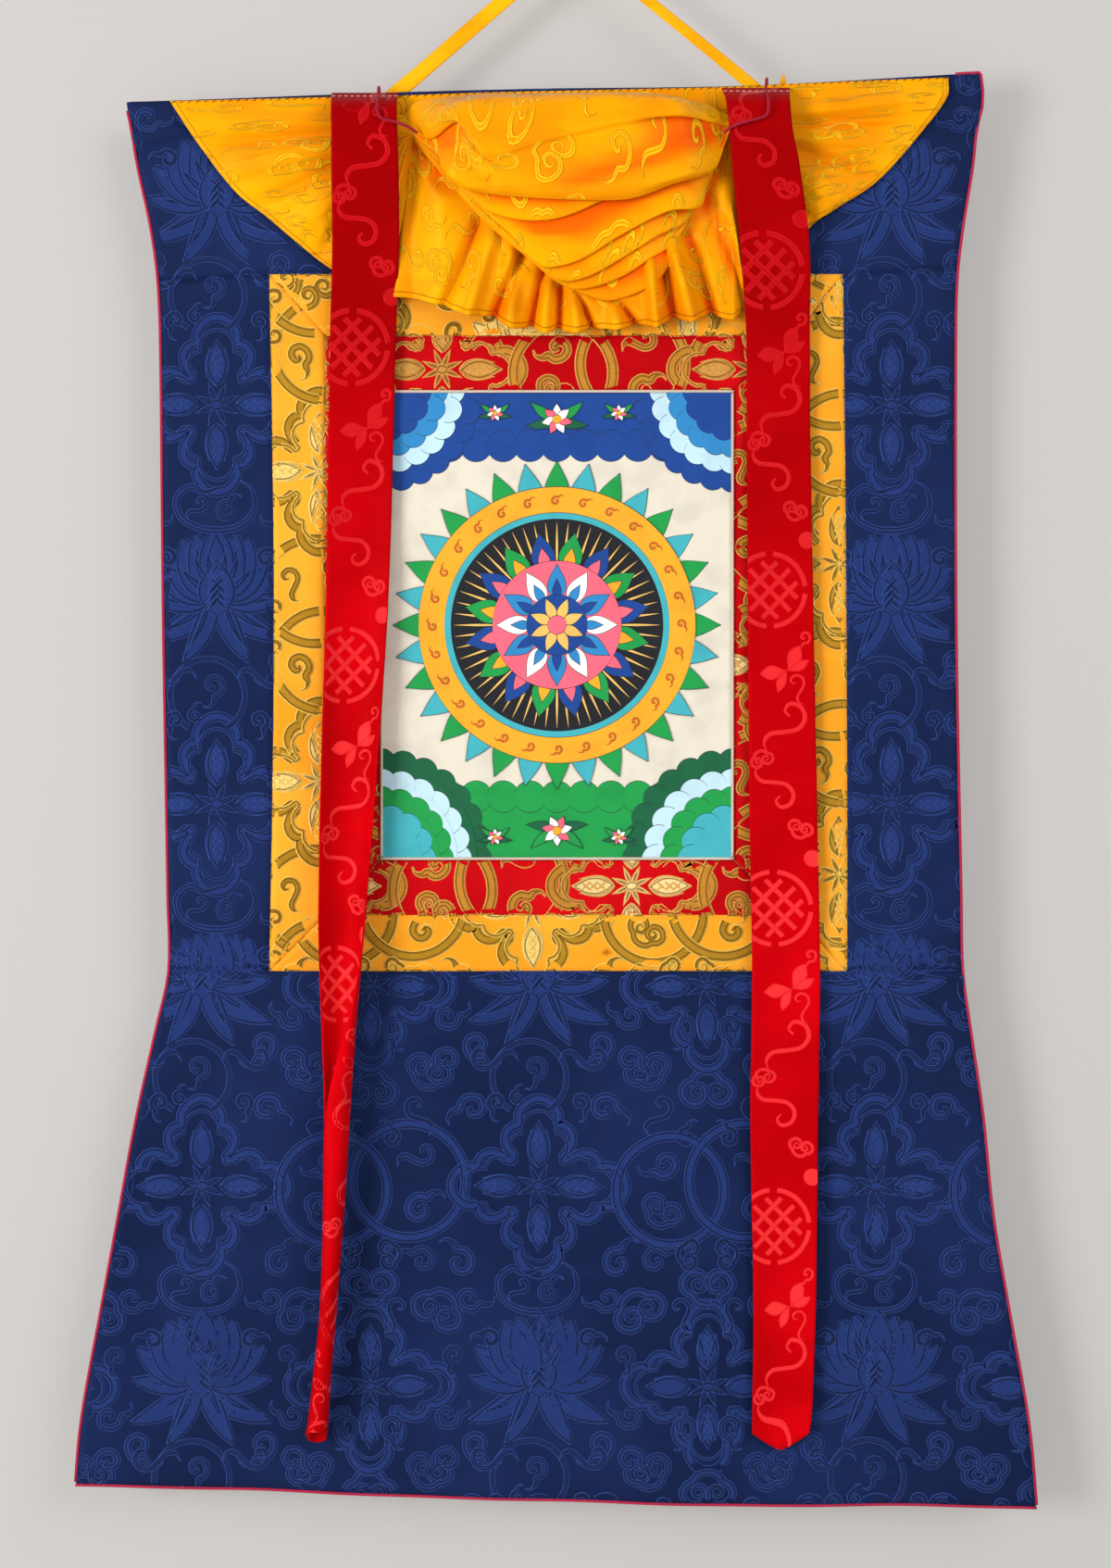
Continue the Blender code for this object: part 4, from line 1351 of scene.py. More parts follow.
@dataclass
class SewnFrame:
    """The navy cloth, the gold and red borders, and the piping and the edging round the painting."""

    finish: Finish
    piping_inset: float = 1.3 * PIPING_RADIUS

    def navy(self) -> None:
        """Make the four navy panels, whose figures run on from one to the next."""
        inset, f = self.piping_inset, self.finish

        def left(z: Array) -> Array:
            """Return the left edge."""
            return DRAPE.outline("left", z) + inset

        def right(z: Array) -> Array:
            """Return the right edge."""
            return DRAPE.outline("right", z) - inset

        def seam(x: Array) -> Array:
            """Return the seam over the bottom panel."""
            return np.full_like(x, GOLD_OUTER.bottom)

        def foot(x: Array) -> Array:
            """Return the bottom edge."""
            return DRAPE.foot(x) + inset

        lower, upper = Brocade(-0.024, -0.807, bold=1.15), Brocade(-0.014, -0.560, bold=1.15)
        beside_left, beside_right = partial(DRAPE.gold_edge, "left"), partial(DRAPE.gold_edge, "right")
        panels = (
            ("navy_top", (left, right, DRAPE.top, DRAPE.top_seam), (0.53, 0.118), upper),
            ("navy_left", (left, beside_left, DRAPE.top_seam, seam), (0.069, 0.45), upper),
            ("navy_right", (beside_right, right, DRAPE.top_seam, seam), (0.072, 0.45), upper),
            ("navy_bottom", (left, right, seam, foot), (0.57, 0.342), lower),
        )
        for name, edges, size, woven in panels:
            PatchPiece(name, Quad(*edges), size, f.navy, f.navy_figure, "navy", woven, 0.0038).build()

    def borders(self) -> None:
        """Make the gold and the red border, each of four mitred strips."""
        f = self.finish

        def red_edge(side: str, z: Array) -> Array:
            """Return the red border's straight outer edge."""
            return np.full_like(z, getattr(RED_OUTER, side))

        special = {
            "red_border_top": Brocade(-0.0865, -0.2790, BORDER_REPEAT, 0, FAINT, BOLD),
            "gold_border_right": Brocade(0.1700, -0.4050, BORDER_REPEAT, 90, FAINT, BOLD),
        }
        borders = (
            ("gold_border", GOLD_OUTER, RED_OUTER, DRAPE.gold_edge, (f.gold, f.gold_figure, "gold"),
             (-0.028, -0.628), (-0.166, -0.345)),
            ("red_border", RED_OUTER, PAINTING, red_edge, (f.red, f.red_figure, "red_brocade"),
             (0.036, -0.613), (0.124, -0.470)),
        )
        for prefix, outer, inner, edge, looks, upright, sideways in borders:
            woven = {True: Brocade(*upright, BORDER_REPEAT, 0, BRIGHT, BOLD),
                     False: Brocade(*sideways, BORDER_REPEAT, 90, BRIGHT, BOLD)}
            for side in SIDES:
                name, patch = f"{prefix}_{side}", Mitre(outer, inner, side, edge)
                long = outer.right - outer.left if patch.level else outer.top - outer.bottom
                thin = abs(getattr(outer, side) - getattr(inner, side))
                size = (long, thin) if patch.level else (thin, long)
                PatchPiece(name, patch, size, *looks, special.get(name, woven[patch.level])).build()

    def piping(self) -> None:
        """Make the crimson lines along the sides and the foot."""
        drape, inset = DRAPE, PIPING_RADIUS

        def foot(x: float) -> float:
            """Return the bottom line's height."""
            return float(drape.foot(x)) + inset

        steps = 90
        left_foot = foot(float(drape.outline("left", -1.0))) + 2 * inset + SEAM_GAP
        z = np.linspace(-0.112, left_foot, steps)
        self.line("edge_piping_left", drape.outline("left", z) + inset, z)
        right_top = -0.0892
        right_foot = foot(float(drape.outline("right", -1.012))) + 2 * inset + SEAM_GAP
        corner_x = float(drape.outline("right", right_top)) - inset
        z = np.linspace(right_top, right_foot, steps)
        wrap = np.linspace(-0.0165, -0.0012, 8)
        wrap_z = drape.top(corner_x + wrap) + 0.0002
        x = np.concatenate([corner_x + wrap, drape.outline("right", z) - inset])
        self.line("edge_piping_right", x, np.concatenate([wrap_z, z]))
        left, right = float(drape.outline("left", -1.0)), float(drape.outline("right", -1.012))
        x = np.linspace(left + 0.001, right - 0.001, steps)
        self.line("edge_piping_bottom", x, drape.foot(x) + inset)

    def build(self) -> None:
        """Make the whole frame."""
        self.navy()
        self.borders()
        self.piping()
        self.edging()

    def line(self, name: str, x: Array, z: Array) -> None:
        """Make one length of piping."""
        points = np.stack([x, DRAPE.hang(x, z), z], axis=1)
        show(cord_mesh(f"{name}_cord", points, PIPING_RADIUS), self.finish.piping, "piping", name)

    def edging(self) -> None:
        """Make the cream cord round the painting."""
        reach, short, steps = EDGING_RADIUS, EDGING_RADIUS + SEAM_GAP, 60
        stand = LINED_CLOTH / 2 + SEAM_GAP + EDGING_RADIUS
        for side in SIDES:
            if side in ("top", "bottom"):
                x = np.linspace(PAINTING.left - reach, PAINTING.right + reach, steps)
                z = np.full(steps, getattr(PAINTING, side))
            else:
                z = np.linspace(PAINTING.top - short, PAINTING.bottom + short, steps)
                x = np.full(steps, getattr(PAINTING, side))
            wander = 0.0002 * np.sin(x * 900 + z * 700)
            points = np.stack([x, DRAPE.hang(x, z) - stand + wander, z], axis=1)
            name = f"painting_edging_{side}"
            show(cord_mesh(f"{name}_cord", points, EDGING_RADIUS), self.finish.edging, "edging", name)


def cord_mesh(name: str, points: Array, radius: float, around: int = 10) -> bpy.types.Object:
    """Make a round cord as a mesh tube with a UV of metres along it and turns round it."""
    count = len(points)
    heading = np.gradient(points, axis=0)
    heading /= np.linalg.norm(heading, axis=1, keepdims=True)
    aside = np.cross(heading, np.array([0.13, -1.0, 0.21]))
    aside /= np.linalg.norm(aside, axis=1, keepdims=True)
    up = np.cross(aside, heading)
    angle = 2 * np.pi * np.arange(around) / around
    circle = np.cos(angle)[None, :, None] * aside[:, None] + np.sin(angle)[None, :, None] * up[:, None]
    verts = (points[:, None] + radius * circle).reshape(-1, 3)
    first = (np.arange(count - 1)[:, None] * around + np.arange(around)[None, :]).ravel()
    last = (np.arange(count - 1)[:, None] * around + (np.arange(around)[None, :] + 1) % around).ravel()
    faces = np.stack([first, first + around, last + around, last], axis=1).tolist()
    faces.append(list(range(around)))
    faces.append([(count - 1) * around + k for k in reversed(range(around))])
    mesh = bpy.data.meshes.new(name)
    mesh.from_pydata(verts.tolist(), [], faces)
    run = run_along(points)
    layer = mesh.uv_layers.new(name="UVMap")
    for face in mesh.polygons:
        turns = [mesh.loops[i].vertex_index % around for i in face.loop_indices]
        wrap = max(turns) - min(turns) > 1 and len(turns) == 4
        for i, k in zip(face.loop_indices, turns):
            ring_number = mesh.loops[i].vertex_index // around
            layer.data[i].uv = (run[ring_number], (k + around if wrap and k == 0 else k) / around)
    mesh.shade_smooth()
    return linked(name, mesh)


# Painting ------------------------------------------------------------------------------------------


class Pigment(Enum):
    """The colours of the painted canvas, as linear values."""

    CREAM = linear(222, 213, 194)
    DEEP_BLUE = linear(6, 62, 140)
    SKY = linear(40, 130, 190)
    PALE = linear(190, 222, 232)
    PINK = linear(240, 100, 120)
    ORANGE = linear(246, 166, 30)
    TAN = linear(236, 186, 96)
    GREEN = linear(14, 150, 66)
    DARK_GREEN = linear(4, 92, 56)
    TEAL = linear(60, 170, 180)
    INK = linear(16, 18, 24)
    WHITE = linear(240, 240, 234)


@dataclass
class Painting:
    """The canvas with a design of its own: a rosette on cream between blue and green fans."""

    finish: Finish
    step: float = 0.006
    paint_lift: float = 0.00006
    paint_step: float = 0.000012
    paint_lane: float = 0.008
    bare_edge: float = 0.0015

    def patch(self) -> Quad:
        """Return the canvas's shape."""
        return Quad(*(partial(np.full_like, fill_value=edge) for edge in PAINTING))

    def rosette(self, x: float, z: float, size: float) -> Motif:
        """Paint rings of petals, from the outermost in."""
        p = Pigment
        strokes: Motif = []

        def petals(
            count: int, radius: float, length: float, width: float, colours: Sequence[Pigment],
            turn: float = 0,
        ) -> None:
            """Add a ring of petals whose colours take turns."""
            for k in range(count):
                angle = turn + 360 * k / count
                colour = colours[k % len(colours)].value
                strokes.append(
                    petal(*polar(radius, angle), angle, length, width, 1.0, belly=0.7, steps=16, paint=colour)
                )

        petals(32, 0.70, 0.32, 0.16, (p.GREEN, p.TEAL))
        strokes.append(disc(0, 0, 0.86, 1.0, p.ORANGE.value, 64))
        for k in range(28):
            angle = 360 * k / 28
            for s in placed(curl(0.3), *polar(0.78, angle), 0.055, angle + 90):
                strokes.append(Stroke(s.line, s.width, 0.0, linear(190, 96, 20)))
        strokes.append(disc(0, 0, 0.70, 1.0, p.TEAL.value, 64))
        strokes.append(disc(0, 0, 0.66, 1.0, p.INK.value, 64))
        for k in range(56):
            angle = 360 * k / 56
            strokes.append(petal(*polar(0.36, angle), angle, 0.28, 0.014, 0.0, steps=4, paint=p.TAN.value))
        petals(16, 0.34, 0.24, 0.15, (p.DEEP_BLUE, p.GREEN), 11.25)
        petals(16, 0.34, 0.15, 0.08, (p.PINK, p.ORANGE), 11.25)
        strokes.append(disc(0, 0, 0.40, 1.0, p.PINK.value, 48))
        petals(12, 0.16, 0.22, 0.12, (p.WHITE, p.SKY))
        petals(12, 0.16, 0.13, 0.06, (p.SKY, p.DEEP_BLUE))
        strokes.append(disc(0, 0, 0.19, 1.0, p.DEEP_BLUE.value, 32))
        petals(8, 0.04, 0.14, 0.07, (p.TAN,), 22.5)
        strokes.append(disc(0, 0, 0.06, 1.0, p.PINK.value, 16))
        return placed(strokes, x, z, size)

    def fan(self, x: float, z: float, size: float, outer: Pigment, inner: Pigment, core: Pigment) -> Motif:
        """Paint scalloped quarter rings round a corner."""
        strokes: Motif = []
        rings = ((0.86, 28, outer), (0.68, 24, Pigment.PALE), (0.52, 20, inner), (0.36, 14, core))
        for radius, count, colour in rings:
            for k in range(count):
                strokes.append(disc(*polar(radius, 360 * k / count), 0.13, 1.0, colour.value, 18))
            strokes.append(disc(0, 0, radius, 0.0, colour.value, 48))
        return placed(strokes, x, z, size)

    def spray(self, x: float, z: float, size: float, turn: float) -> Motif:
        """Paint a small flower between two pairs of leaves."""
        p = Pigment
        strokes = []
        for angle in (20, 160, -25, 205):
            strokes.append(petal(0, 0, angle, 1.0, 0.34, 1.0, bend=0.25 if angle in (20, -25) else -0.25,
                                 paint=(p.GREEN if angle in (20, 160) else p.DARK_GREEN).value))
        for k in range(7):
            colour = p.PINK if k % 2 else p.WHITE
            strokes.append(petal(0, 0, 360 * k / 7 + 90, 0.52, 0.30, 1.0, paint=colour.value))
        strokes.append(disc(0, 0, 0.15, 1.0, p.ORANGE.value, 14))
        return placed(strokes, x, z, size, turn)

    def design(self) -> Motif:
        """Return every brush stroke, from the ground up."""
        p = Pigment
        box = PAINTING
        middle_x, middle_z = (box.left + box.right) / 2, (box.top + box.bottom) / 2
        width, height = box.right - box.left, box.top - box.bottom
        strokes: Motif = []
        for rise, colour, fold_shade in ((box.top, p.DEEP_BLUE, 0.035), (box.bottom, p.GREEN, 0.040)):
            run = np.linspace(box.left - 0.01, box.right + 0.01, 40)
            line = np.stack([run, np.full(40, rise)], axis=1)
            strokes.append(Stroke(line, np.full(40, 2 * fold_shade), 0.0, colour.value))
            for k in range(13):
                x = box.left + width * (k + 0.5) / 13
                z = rise + (-fold_shade if rise == box.top else fold_shade)
                strokes.append(disc(x, z, 0.0105, 1.0, colour.value, 18))
        strokes += self.fan(box.left, box.top, 0.066, p.DEEP_BLUE, p.SKY, p.DEEP_BLUE)
        strokes += self.fan(box.right, box.top, 0.066, p.DEEP_BLUE, p.SKY, p.DEEP_BLUE)
        strokes += self.fan(box.left, box.bottom, 0.072, p.DARK_GREEN, p.GREEN, p.TEAL)
        strokes += self.fan(box.right, box.bottom, 0.072, p.DARK_GREEN, p.GREEN, p.TEAL)
        strokes += self.rosette(middle_x, middle_z, 0.104)
        for side in (-1, 1):
            reach = side * height / 2
            strokes += self.spray(middle_x, middle_z + reach - side * 0.018, 0.020, 0 if side > 0 else 180)
            for aside in (-1, 1):
                strokes += self.spray(middle_x + aside * 0.040, middle_z + reach - side * 0.014, 0.011, 0)
        return strokes

    def build(self) -> None:
        """Make the canvas and its paint."""
        patch = self.patch()
        width, height = PAINTING.right - PAINTING.left, PAINTING.top - PAINTING.bottom
        surface = patch.surface(width, height, self.step, False)
        cloth = cloth_piece("painting", surface, LINED_CLOTH)
        mesh = cloth.data
        cream = np.tile(np.array([*Pigment.CREAM.value, 1.0], np.float32), len(mesh.vertices))
        mesh.attributes.new("paint", "FLOAT_COLOR", "POINT").data.foreach_set("color", cream)
        put(mesh, "half", np.full(len(mesh.vertices), 1.0))
        put(mesh, "tone", np.zeros(len(mesh.vertices)))
        mesh.uv_layers.new(name="UVMap")
        show(cloth, self.finish.paint, "canvas", "painting")
        paint = figures_piece(
            "painting_design", self.design(), surface, patch.locate, LINED_CLOTH / 2 + self.paint_lift,
            margin=self.bare_edge, step=self.paint_step, lane=self.paint_lane,
        )
        show(paint, self.finish.paint, "canvas")
        declare_sheet(cloth, surface, "stretched", [], paint)


# Veil ----------------------------------------------------------------------------------------------


VEIL_LINES = {
    "seam": (
        (0, -0.1146, -0.1032), (0.15, -0.084, -0.102), (0.3, -0.0522, -0.1008), (0.5, -0.0084, -0.0996),
        (0.7, 0.0348, -0.0984), (0.85, 0.066, -0.0978), (1, 0.0942, -0.0972),
    ),
    "lip": (
        (0, -0.111, -0.1176), (0.1, -0.1002, -0.1086), (0.22, -0.0732, -0.1032), (0.4, -0.0312, -0.102),
        (0.6, 0.0138, -0.1014), (0.78, 0.0504, -0.1026), (0.9, 0.078, -0.1092), (1, 0.0984, -0.1176),
    ),
    "roll": (
        (0, -0.1092, -0.1236), (0.1, -0.0954, -0.129), (0.22, -0.0732, -0.1182),
        (0.4, -0.0282, -0.1134), (0.6, 0.0168, -0.1122), (0.78, 0.054, -0.1122), (0.9, 0.0768, -0.1158),
        (1, 0.099, -0.1212),
    ),
    "crease": (
        (0, -0.1068, -0.1272), (0.08, -0.0924, -0.1356), (0.16, -0.0762, -0.1278),
        (0.24, -0.0666, -0.1386), (0.32, -0.0552, -0.1488), (0.42, -0.03, -0.1422),
        (0.55, 0.0018, -0.1338), (0.7, 0.0408, -0.126), (0.86, 0.0738, -0.1242), (1, 0.099, -0.1248),
    ),
    "bowl": (
        (0, -0.1056, -0.129), (0.09, -0.0888, -0.1458), (0.18, -0.0732, -0.1518),
        (0.28, -0.0522, -0.159), (0.42, -0.0252, -0.1566), (0.58, 0.0168, -0.153),
        (0.75, 0.054, -0.147), (0.9, 0.084, -0.1398), (1, 0.0984, -0.1272),
    ),
    "bottom_1": (
        (0, -0.105, -0.1302), (0.08, -0.09, -0.1422), (0.14, -0.0852, -0.1572), (0.2, -0.0756, -0.1668),
        (0.28, -0.0642, -0.171), (0.42, -0.0318, -0.1746), (0.56, 0.0102, -0.1764),
        (0.66, 0.0354, -0.1752), (0.77, 0.0576, -0.1674), (0.9, 0.0876, -0.1554),
        (0.96, 0.0948, -0.138), (1, 0.0984, -0.1278),
    ),
    "bottom_2": (
        (0, -0.1044, -0.1308), (0.1, -0.0852, -0.153), (0.2, -0.0672, -0.1722),
        (0.28, -0.0558, -0.1824), (0.38, -0.0378, -0.1878), (0.48, -0.0198, -0.1884),
        (0.58, -0.0018, -0.1842), (0.68, 0.0198, -0.1746), (0.82, 0.0588, -0.162), (0.94, 0.09, -0.144),
        (1, 0.0984, -0.1284),
    ),
    "bottom_3": (
        (0, -0.1044, -0.1314), (0.12, -0.0792, -0.162), (0.24, -0.0552, -0.1848),
        (0.32, -0.0408, -0.1974), (0.4, -0.0312, -0.2094), (0.47, -0.0228, -0.216),
        (0.54, -0.0156, -0.2178), (0.62, 0.0036, -0.2124), (0.7, 0.0282, -0.1974),
        (0.8, 0.0576, -0.1824), (0.9, 0.0798, -0.177), (0.95, 0.0852, -0.159), (1, 0.0984, -0.129),
    ),
    "bottom_4": (
        (0, -0.1044, -0.132), (0.14, -0.0732, -0.171), (0.28, -0.0462, -0.1962),
        (0.38, -0.0282, -0.213), (0.46, -0.018, -0.2208), (0.54, -0.0108, -0.225),
        (0.62, -0.0012, -0.2256), (0.7, 0.0138, -0.2202), (0.78, 0.0348, -0.2076),
        (0.86, 0.0528, -0.1962), (0.93, 0.072, -0.1842), (0.97, 0.0852, -0.159), (1, 0.0984, -0.1296),
    ),
    "bottom_5": (
        (0, -0.1044, -0.1326), (0.16, -0.0684, -0.1758), (0.32, -0.0384, -0.2034),
        (0.44, -0.018, -0.2214), (0.52, -0.009, -0.2274), (0.6, -0.0006, -0.2304),
        (0.68, 0.0132, -0.2286), (0.76, 0.03, -0.222), (0.84, 0.0468, -0.2112), (0.9, 0.0612, -0.201),
        (0.95, 0.0732, -0.183), (1, 0.0984, -0.1302),
    ),
    "bottom_6": (
        (0, -0.1044, -0.1332), (0.18, -0.0642, -0.1806), (0.36, -0.0312, -0.2094),
        (0.5, -0.0042, -0.2286), (0.58, 0.0114, -0.2352), (0.66, 0.0228, -0.237),
        (0.74, 0.0372, -0.2328), (0.82, 0.0504, -0.2256), (0.9, 0.06, -0.213), (0.95, 0.072, -0.189),
        (1, 0.0984, -0.1308),
    ),
    "skirt_hem": (
        (0, -0.1152, -0.2346), (0.12, -0.0942, -0.2376), (0.24, -0.0732, -0.243),
        (0.34, -0.057, -0.2472), (0.44, -0.0372, -0.2538), (0.54, -0.0132, -0.2562),
        (0.64, 0.0108, -0.255), (0.74, 0.0408, -0.2526), (0.82, 0.0588, -0.2502),
        (0.9, 0.0828, -0.2466), (1, 0.1008, -0.249),
    ),
}


def fold_line(name: str, share: Array) -> tuple[Array, Array]:
    """Return x and z of one line along the gathered veil, at shares of the way from neck to neck."""
    marks, xs, zs = zip(*VEIL_LINES[name])
    return curve_through(marks, xs, share), curve_through(marks, zs, share)


class SideRow(NamedTuple):
    """A station of the veil's side edge."""

    share: float
    x: float
    z: float


LEFT_SIDE_EDGE = named(
    SideRow,
    (0.0, -0.2622, -0.1063), (0.12, -0.2448, -0.1326), (0.32, -0.2202, -0.1644), (0.48, -0.201, -0.18),
    (0.68, -0.1788, -0.1986), (0.88, -0.1614, -0.2124), (1.0, -0.134, -0.229),
)
RIGHT_SIDE_EDGE = named(
    SideRow,
    (0.0, 0.24, -0.0918), (0.1, 0.2394, -0.1038), (0.24, 0.2274, -0.1212), (0.52, 0.195, -0.1578),
    (0.74, 0.1662, -0.177), (0.9, 0.15, -0.189), (1.0, 0.124, -0.224),
)

SKIRT_CREASES = named(
    Crease,
    (-0.033, -0.201, -0.056, -0.256, -0.006, 0.0034), (-0.021, -0.22, -0.0294, -0.256, -0.006, 0.003),
    (-0.0102, -0.23, -0.0114, -0.256, -0.0055, 0.0026), (0.002, -0.236, 0.011, -0.256, -0.005, 0.0026),
    (0.024, -0.234, 0.041, -0.256, -0.005, 0.003), (-0.042, -0.21, -0.042, -0.256, 0.004, 0.0052),
    (-0.02, -0.23, -0.02, -0.256, 0.004, 0.004), (0.0, -0.238, 0.0, -0.256, 0.004, 0.004),
    (0.026, -0.238, 0.026, -0.256, 0.0036, 0.005), (0.048, -0.216, 0.052, -0.256, 0.006, 0.004),
    (0.056, -0.21, 0.064, -0.254, -0.006, 0.0034), (0.064, -0.208, 0.076, -0.254, 0.007, 0.005),
    (0.074, -0.2, 0.088, -0.248, -0.006, 0.0034), (-0.056, -0.2, -0.072, -0.254, 0.004, 0.005),
    (-0.064, -0.19, -0.088, -0.248, -0.004, 0.0034), (-0.09, -0.15, -0.08, -0.245, 0.003, 0.012),
    (-0.108, -0.16, -0.106, -0.24, -0.002, 0.008), (0.081, -0.16, 0.106, -0.225, -0.005, 0.005),
    (0.09, -0.16, 0.115, -0.225, 0.004, 0.006),
)
FRONT_CREASES = named(
    Crease,
    (-0.026, -0.118, 0.02, -0.113, 0.002, 0.006), (-0.084, -0.121, -0.06, -0.112, 0.0014, 0.004),
    (-0.09, -0.123, -0.076, -0.108, -0.0014, 0.0028), (0.0, -0.166, 0.078, -0.136, -0.0036, 0.009),
    (-0.01, -0.17, 0.07, -0.164, 0.0022, 0.005), (-0.064, -0.15, -0.048, -0.164, 0.002, 0.004),
    (-0.076, -0.145, -0.056, -0.165, -0.0016, 0.004),
)
WING_CREASES = named(
    Crease,
    (-0.115, -0.122, -0.25, -0.116, 0.003, 0.004), (-0.115, -0.125, -0.235, -0.133, -0.0032, 0.0042),
    (-0.113, -0.127, -0.215, -0.15, 0.0036, 0.0046), (-0.113, -0.13, -0.2, -0.17, -0.0034, 0.0046),
    (-0.113, -0.132, -0.18, -0.188, 0.0036, 0.005), (-0.112, -0.135, -0.162, -0.2, -0.0032, 0.005),
    (-0.111, -0.14, -0.142, -0.215, 0.003, 0.005), (0.105, -0.119, 0.225, -0.104, 0.003, 0.004),
    (0.105, -0.122, 0.22, -0.118, -0.0032, 0.0042), (0.106, -0.125, 0.205, -0.135, 0.0036, 0.0046),
    (0.107, -0.129, 0.19, -0.152, -0.0034, 0.0046), (0.107, -0.133, 0.17, -0.17, 0.0036, 0.005),
    (0.107, -0.137, 0.15, -0.182, -0.0032, 0.005), (0.108, -0.142, 0.132, -0.21, 0.003, 0.005),
)


@dataclass
class Veil:
    """One silk cloth: two wings that run to the top corners, and the swags gathered between its necks."""

    finish: Finish
    columns: int = 110
    wing_columns: int = 34
    front: float = -0.0365
    pitch: float = 0.0034
    neck_front: float = -0.0185
    neck_pitch: float = 0.0016
    thickness: float = 0.0007
    flat_width: float = 0.52
    flat_length: float = 0.27
    skirt_rows: int = 34
    pleat_depth: float = 1.8
    pleat_drop: float = 0.7
    tuck_depth: float = 1.4
    wing_relief: float = 1.3
    wing_relief_most: float = 0.0024
    wing_clearance: float = 0.0028
    figure_rows: int = 12
    figure_columns: int = 18
    figure_size: float = 0.0155

    def section(self, share: Array) -> tuple[Array, Array]:
        """Return the fold rows of the gathered part.

        Args:
            share: shares of the way from neck to neck, one per column.

        Returns:
            The rows as an array of rows by columns by 3, and the share of painted fold glow and shade that
            each row gets.
        """
        lines = {name: fold_line(name, share) for name in VEIL_LINES}
        neck = steady((np.abs(2 * share - 1) - 0.62) / 0.38)
        rows: list[Array] = []
        # depth holds each row's share of painted fold glow and shade.
        depth: list[Array] = []

        def add(x: Array, y: Array, z: Array, fold_shade: float | Array = 0.0) -> None:
            """Add one row, with the share of painted fold glow and shade that it gets."""
            rows.append(np.stack([x, y, z], axis=1))
            depth.append(np.broadcast_to(fold_shade, x.shape))

        def layer(number: int) -> Array:
            """Return how far forward a swag lies."""
            return mix(self.front + self.pitch * number, self.neck_front + self.neck_pitch * number, neck)

        wall_x, wall_z = lines["seam"]
        wall = DRAPE.hang(wall_x, wall_z) - 0.0031
        lip_x, lip_z = lines["lip"]
        add(wall_x, wall, wall_z)
        add(wall_x, wall, wall_z - 0.004)
        add(mix(wall_x, lip_x, 0.5), wall, np.minimum(wall_z, lip_z) - 0.012, 0.6)
        lip_y = mix(wall - 0.0022, layer(0) + 0.002, neck)
        add(lip_x, lip_y + 0.0006, lip_z - 0.0010, 0.3)
        add(lip_x, lip_y, lip_z)
        add(lip_x, lip_y - 0.0012, lip_z - 0.0012)
        roll_x, roll_z = lines["roll"]
        front = layer(0)
        swell = 1 - neck
        add(mix(lip_x, roll_x, 0.45), mix(lip_y, front - 0.002 * swell, 0.62), mix(lip_z, roll_z, 0.45))
        add(roll_x, front - 0.0040 * swell, roll_z)
        crease_x, crease_z = lines["crease"]
        tuck = np.maximum(steady((0.24 - share) / 0.10), steady((share - 0.66) / 0.14))
        add(mix(roll_x, crease_x, 0.7), front - 0.0055 * swell, mix(roll_z, crease_z, 0.7))
        add(crease_x, front - 0.0050 * swell, crease_z)
        for near, far, fall, rise, fold_shade in (
            (0.0038, 0.0022, -0.0012, 0.0010, 0.25), (0.0026, -0.0010, -0.003, 0.003, tuck * 0.9)
        ):
            add(crease_x, front - mix(near, far, tuck) * swell, crease_z + mix(fall, rise, tuck), fold_shade)
        bowl_x, bowl_z = lines["bowl"]
        back = mix(0.0026, 0.0, tuck) * swell
        add(mix(crease_x, bowl_x, 0.4), front - back, mix(crease_z, bowl_z, 0.4), tuck * 0.5)
        add(bowl_x, front - 0.0030 * swell, bowl_z, 0.05)
        low_x, low_z = lines["bottom_1"]
        add(mix(bowl_x, low_x, 0.6), front - 0.0034 * swell, mix(bowl_z, low_z, 0.6))
        add(mix(bowl_x, low_x, 0.9), front - 0.0022 * swell, mix(bowl_z, low_z, 0.9))
        for number in range(1, 7):
            y = layer(number - 1)
            step = layer(number) - y
            low_x, low_z = lines[f"bottom_{number}"]
            add(low_x, y - 0.0004, low_z + 0.0010)
            add(low_x, y + step * 0.12, low_z)
            add(low_x, y + step * 0.40, low_z + 0.0008, 0.3)
            if number < 6:
                next_x, next_z = lines[f"bottom_{number + 1}"]
                rise = mix(0.016, 0.0022, neck)
                high_z = np.maximum(low_z, next_z) + rise
                middle_x = mix(low_x, next_x, 0.5)
                add(mix(low_x, middle_x, 0.6), y + step * 0.5, mix(low_z, high_z, 0.6), 0.9)
                add(middle_x, y + step * 0.66, high_z, 1.0)
                add(middle_x, y + step * 0.9, high_z - 0.001, 1.0)
                add(mix(middle_x, next_x, 0.5), y + step * 0.95, mix(high_z, next_z, 0.5), 0.85)
                add(mix(middle_x, next_x, 0.85), y + step * 0.94, mix(high_z, next_z, 0.82), 0.1)
        y = layer(6)
        hem_x, hem_z = lines["skirt_hem"]
        top_x = mix(mix(low_x, hem_x, 0.3), low_x, neck)
        top_z = mix(np.full_like(share, -0.150), low_z + 0.0015, neck)
        rest = DRAPE.hang(hem_x, hem_z) - 0.0120
        add(mix(low_x, top_x, 0.5), y - 0.0004, mix(low_z, top_z, 0.6), 0.9)
        add(top_x, y, top_z, 0.8)
        for k in range(1, 17):
            down = k / 16
            x, z = mix(top_x, hem_x, down), mix(top_z, hem_z, down)
            add(x, mix(y + 0.0006, rest, steady(down * 1.15)), z, 0.5 * steady((0.25 - down) / 0.2))
        return np.stack(rows), np.stack(depth)

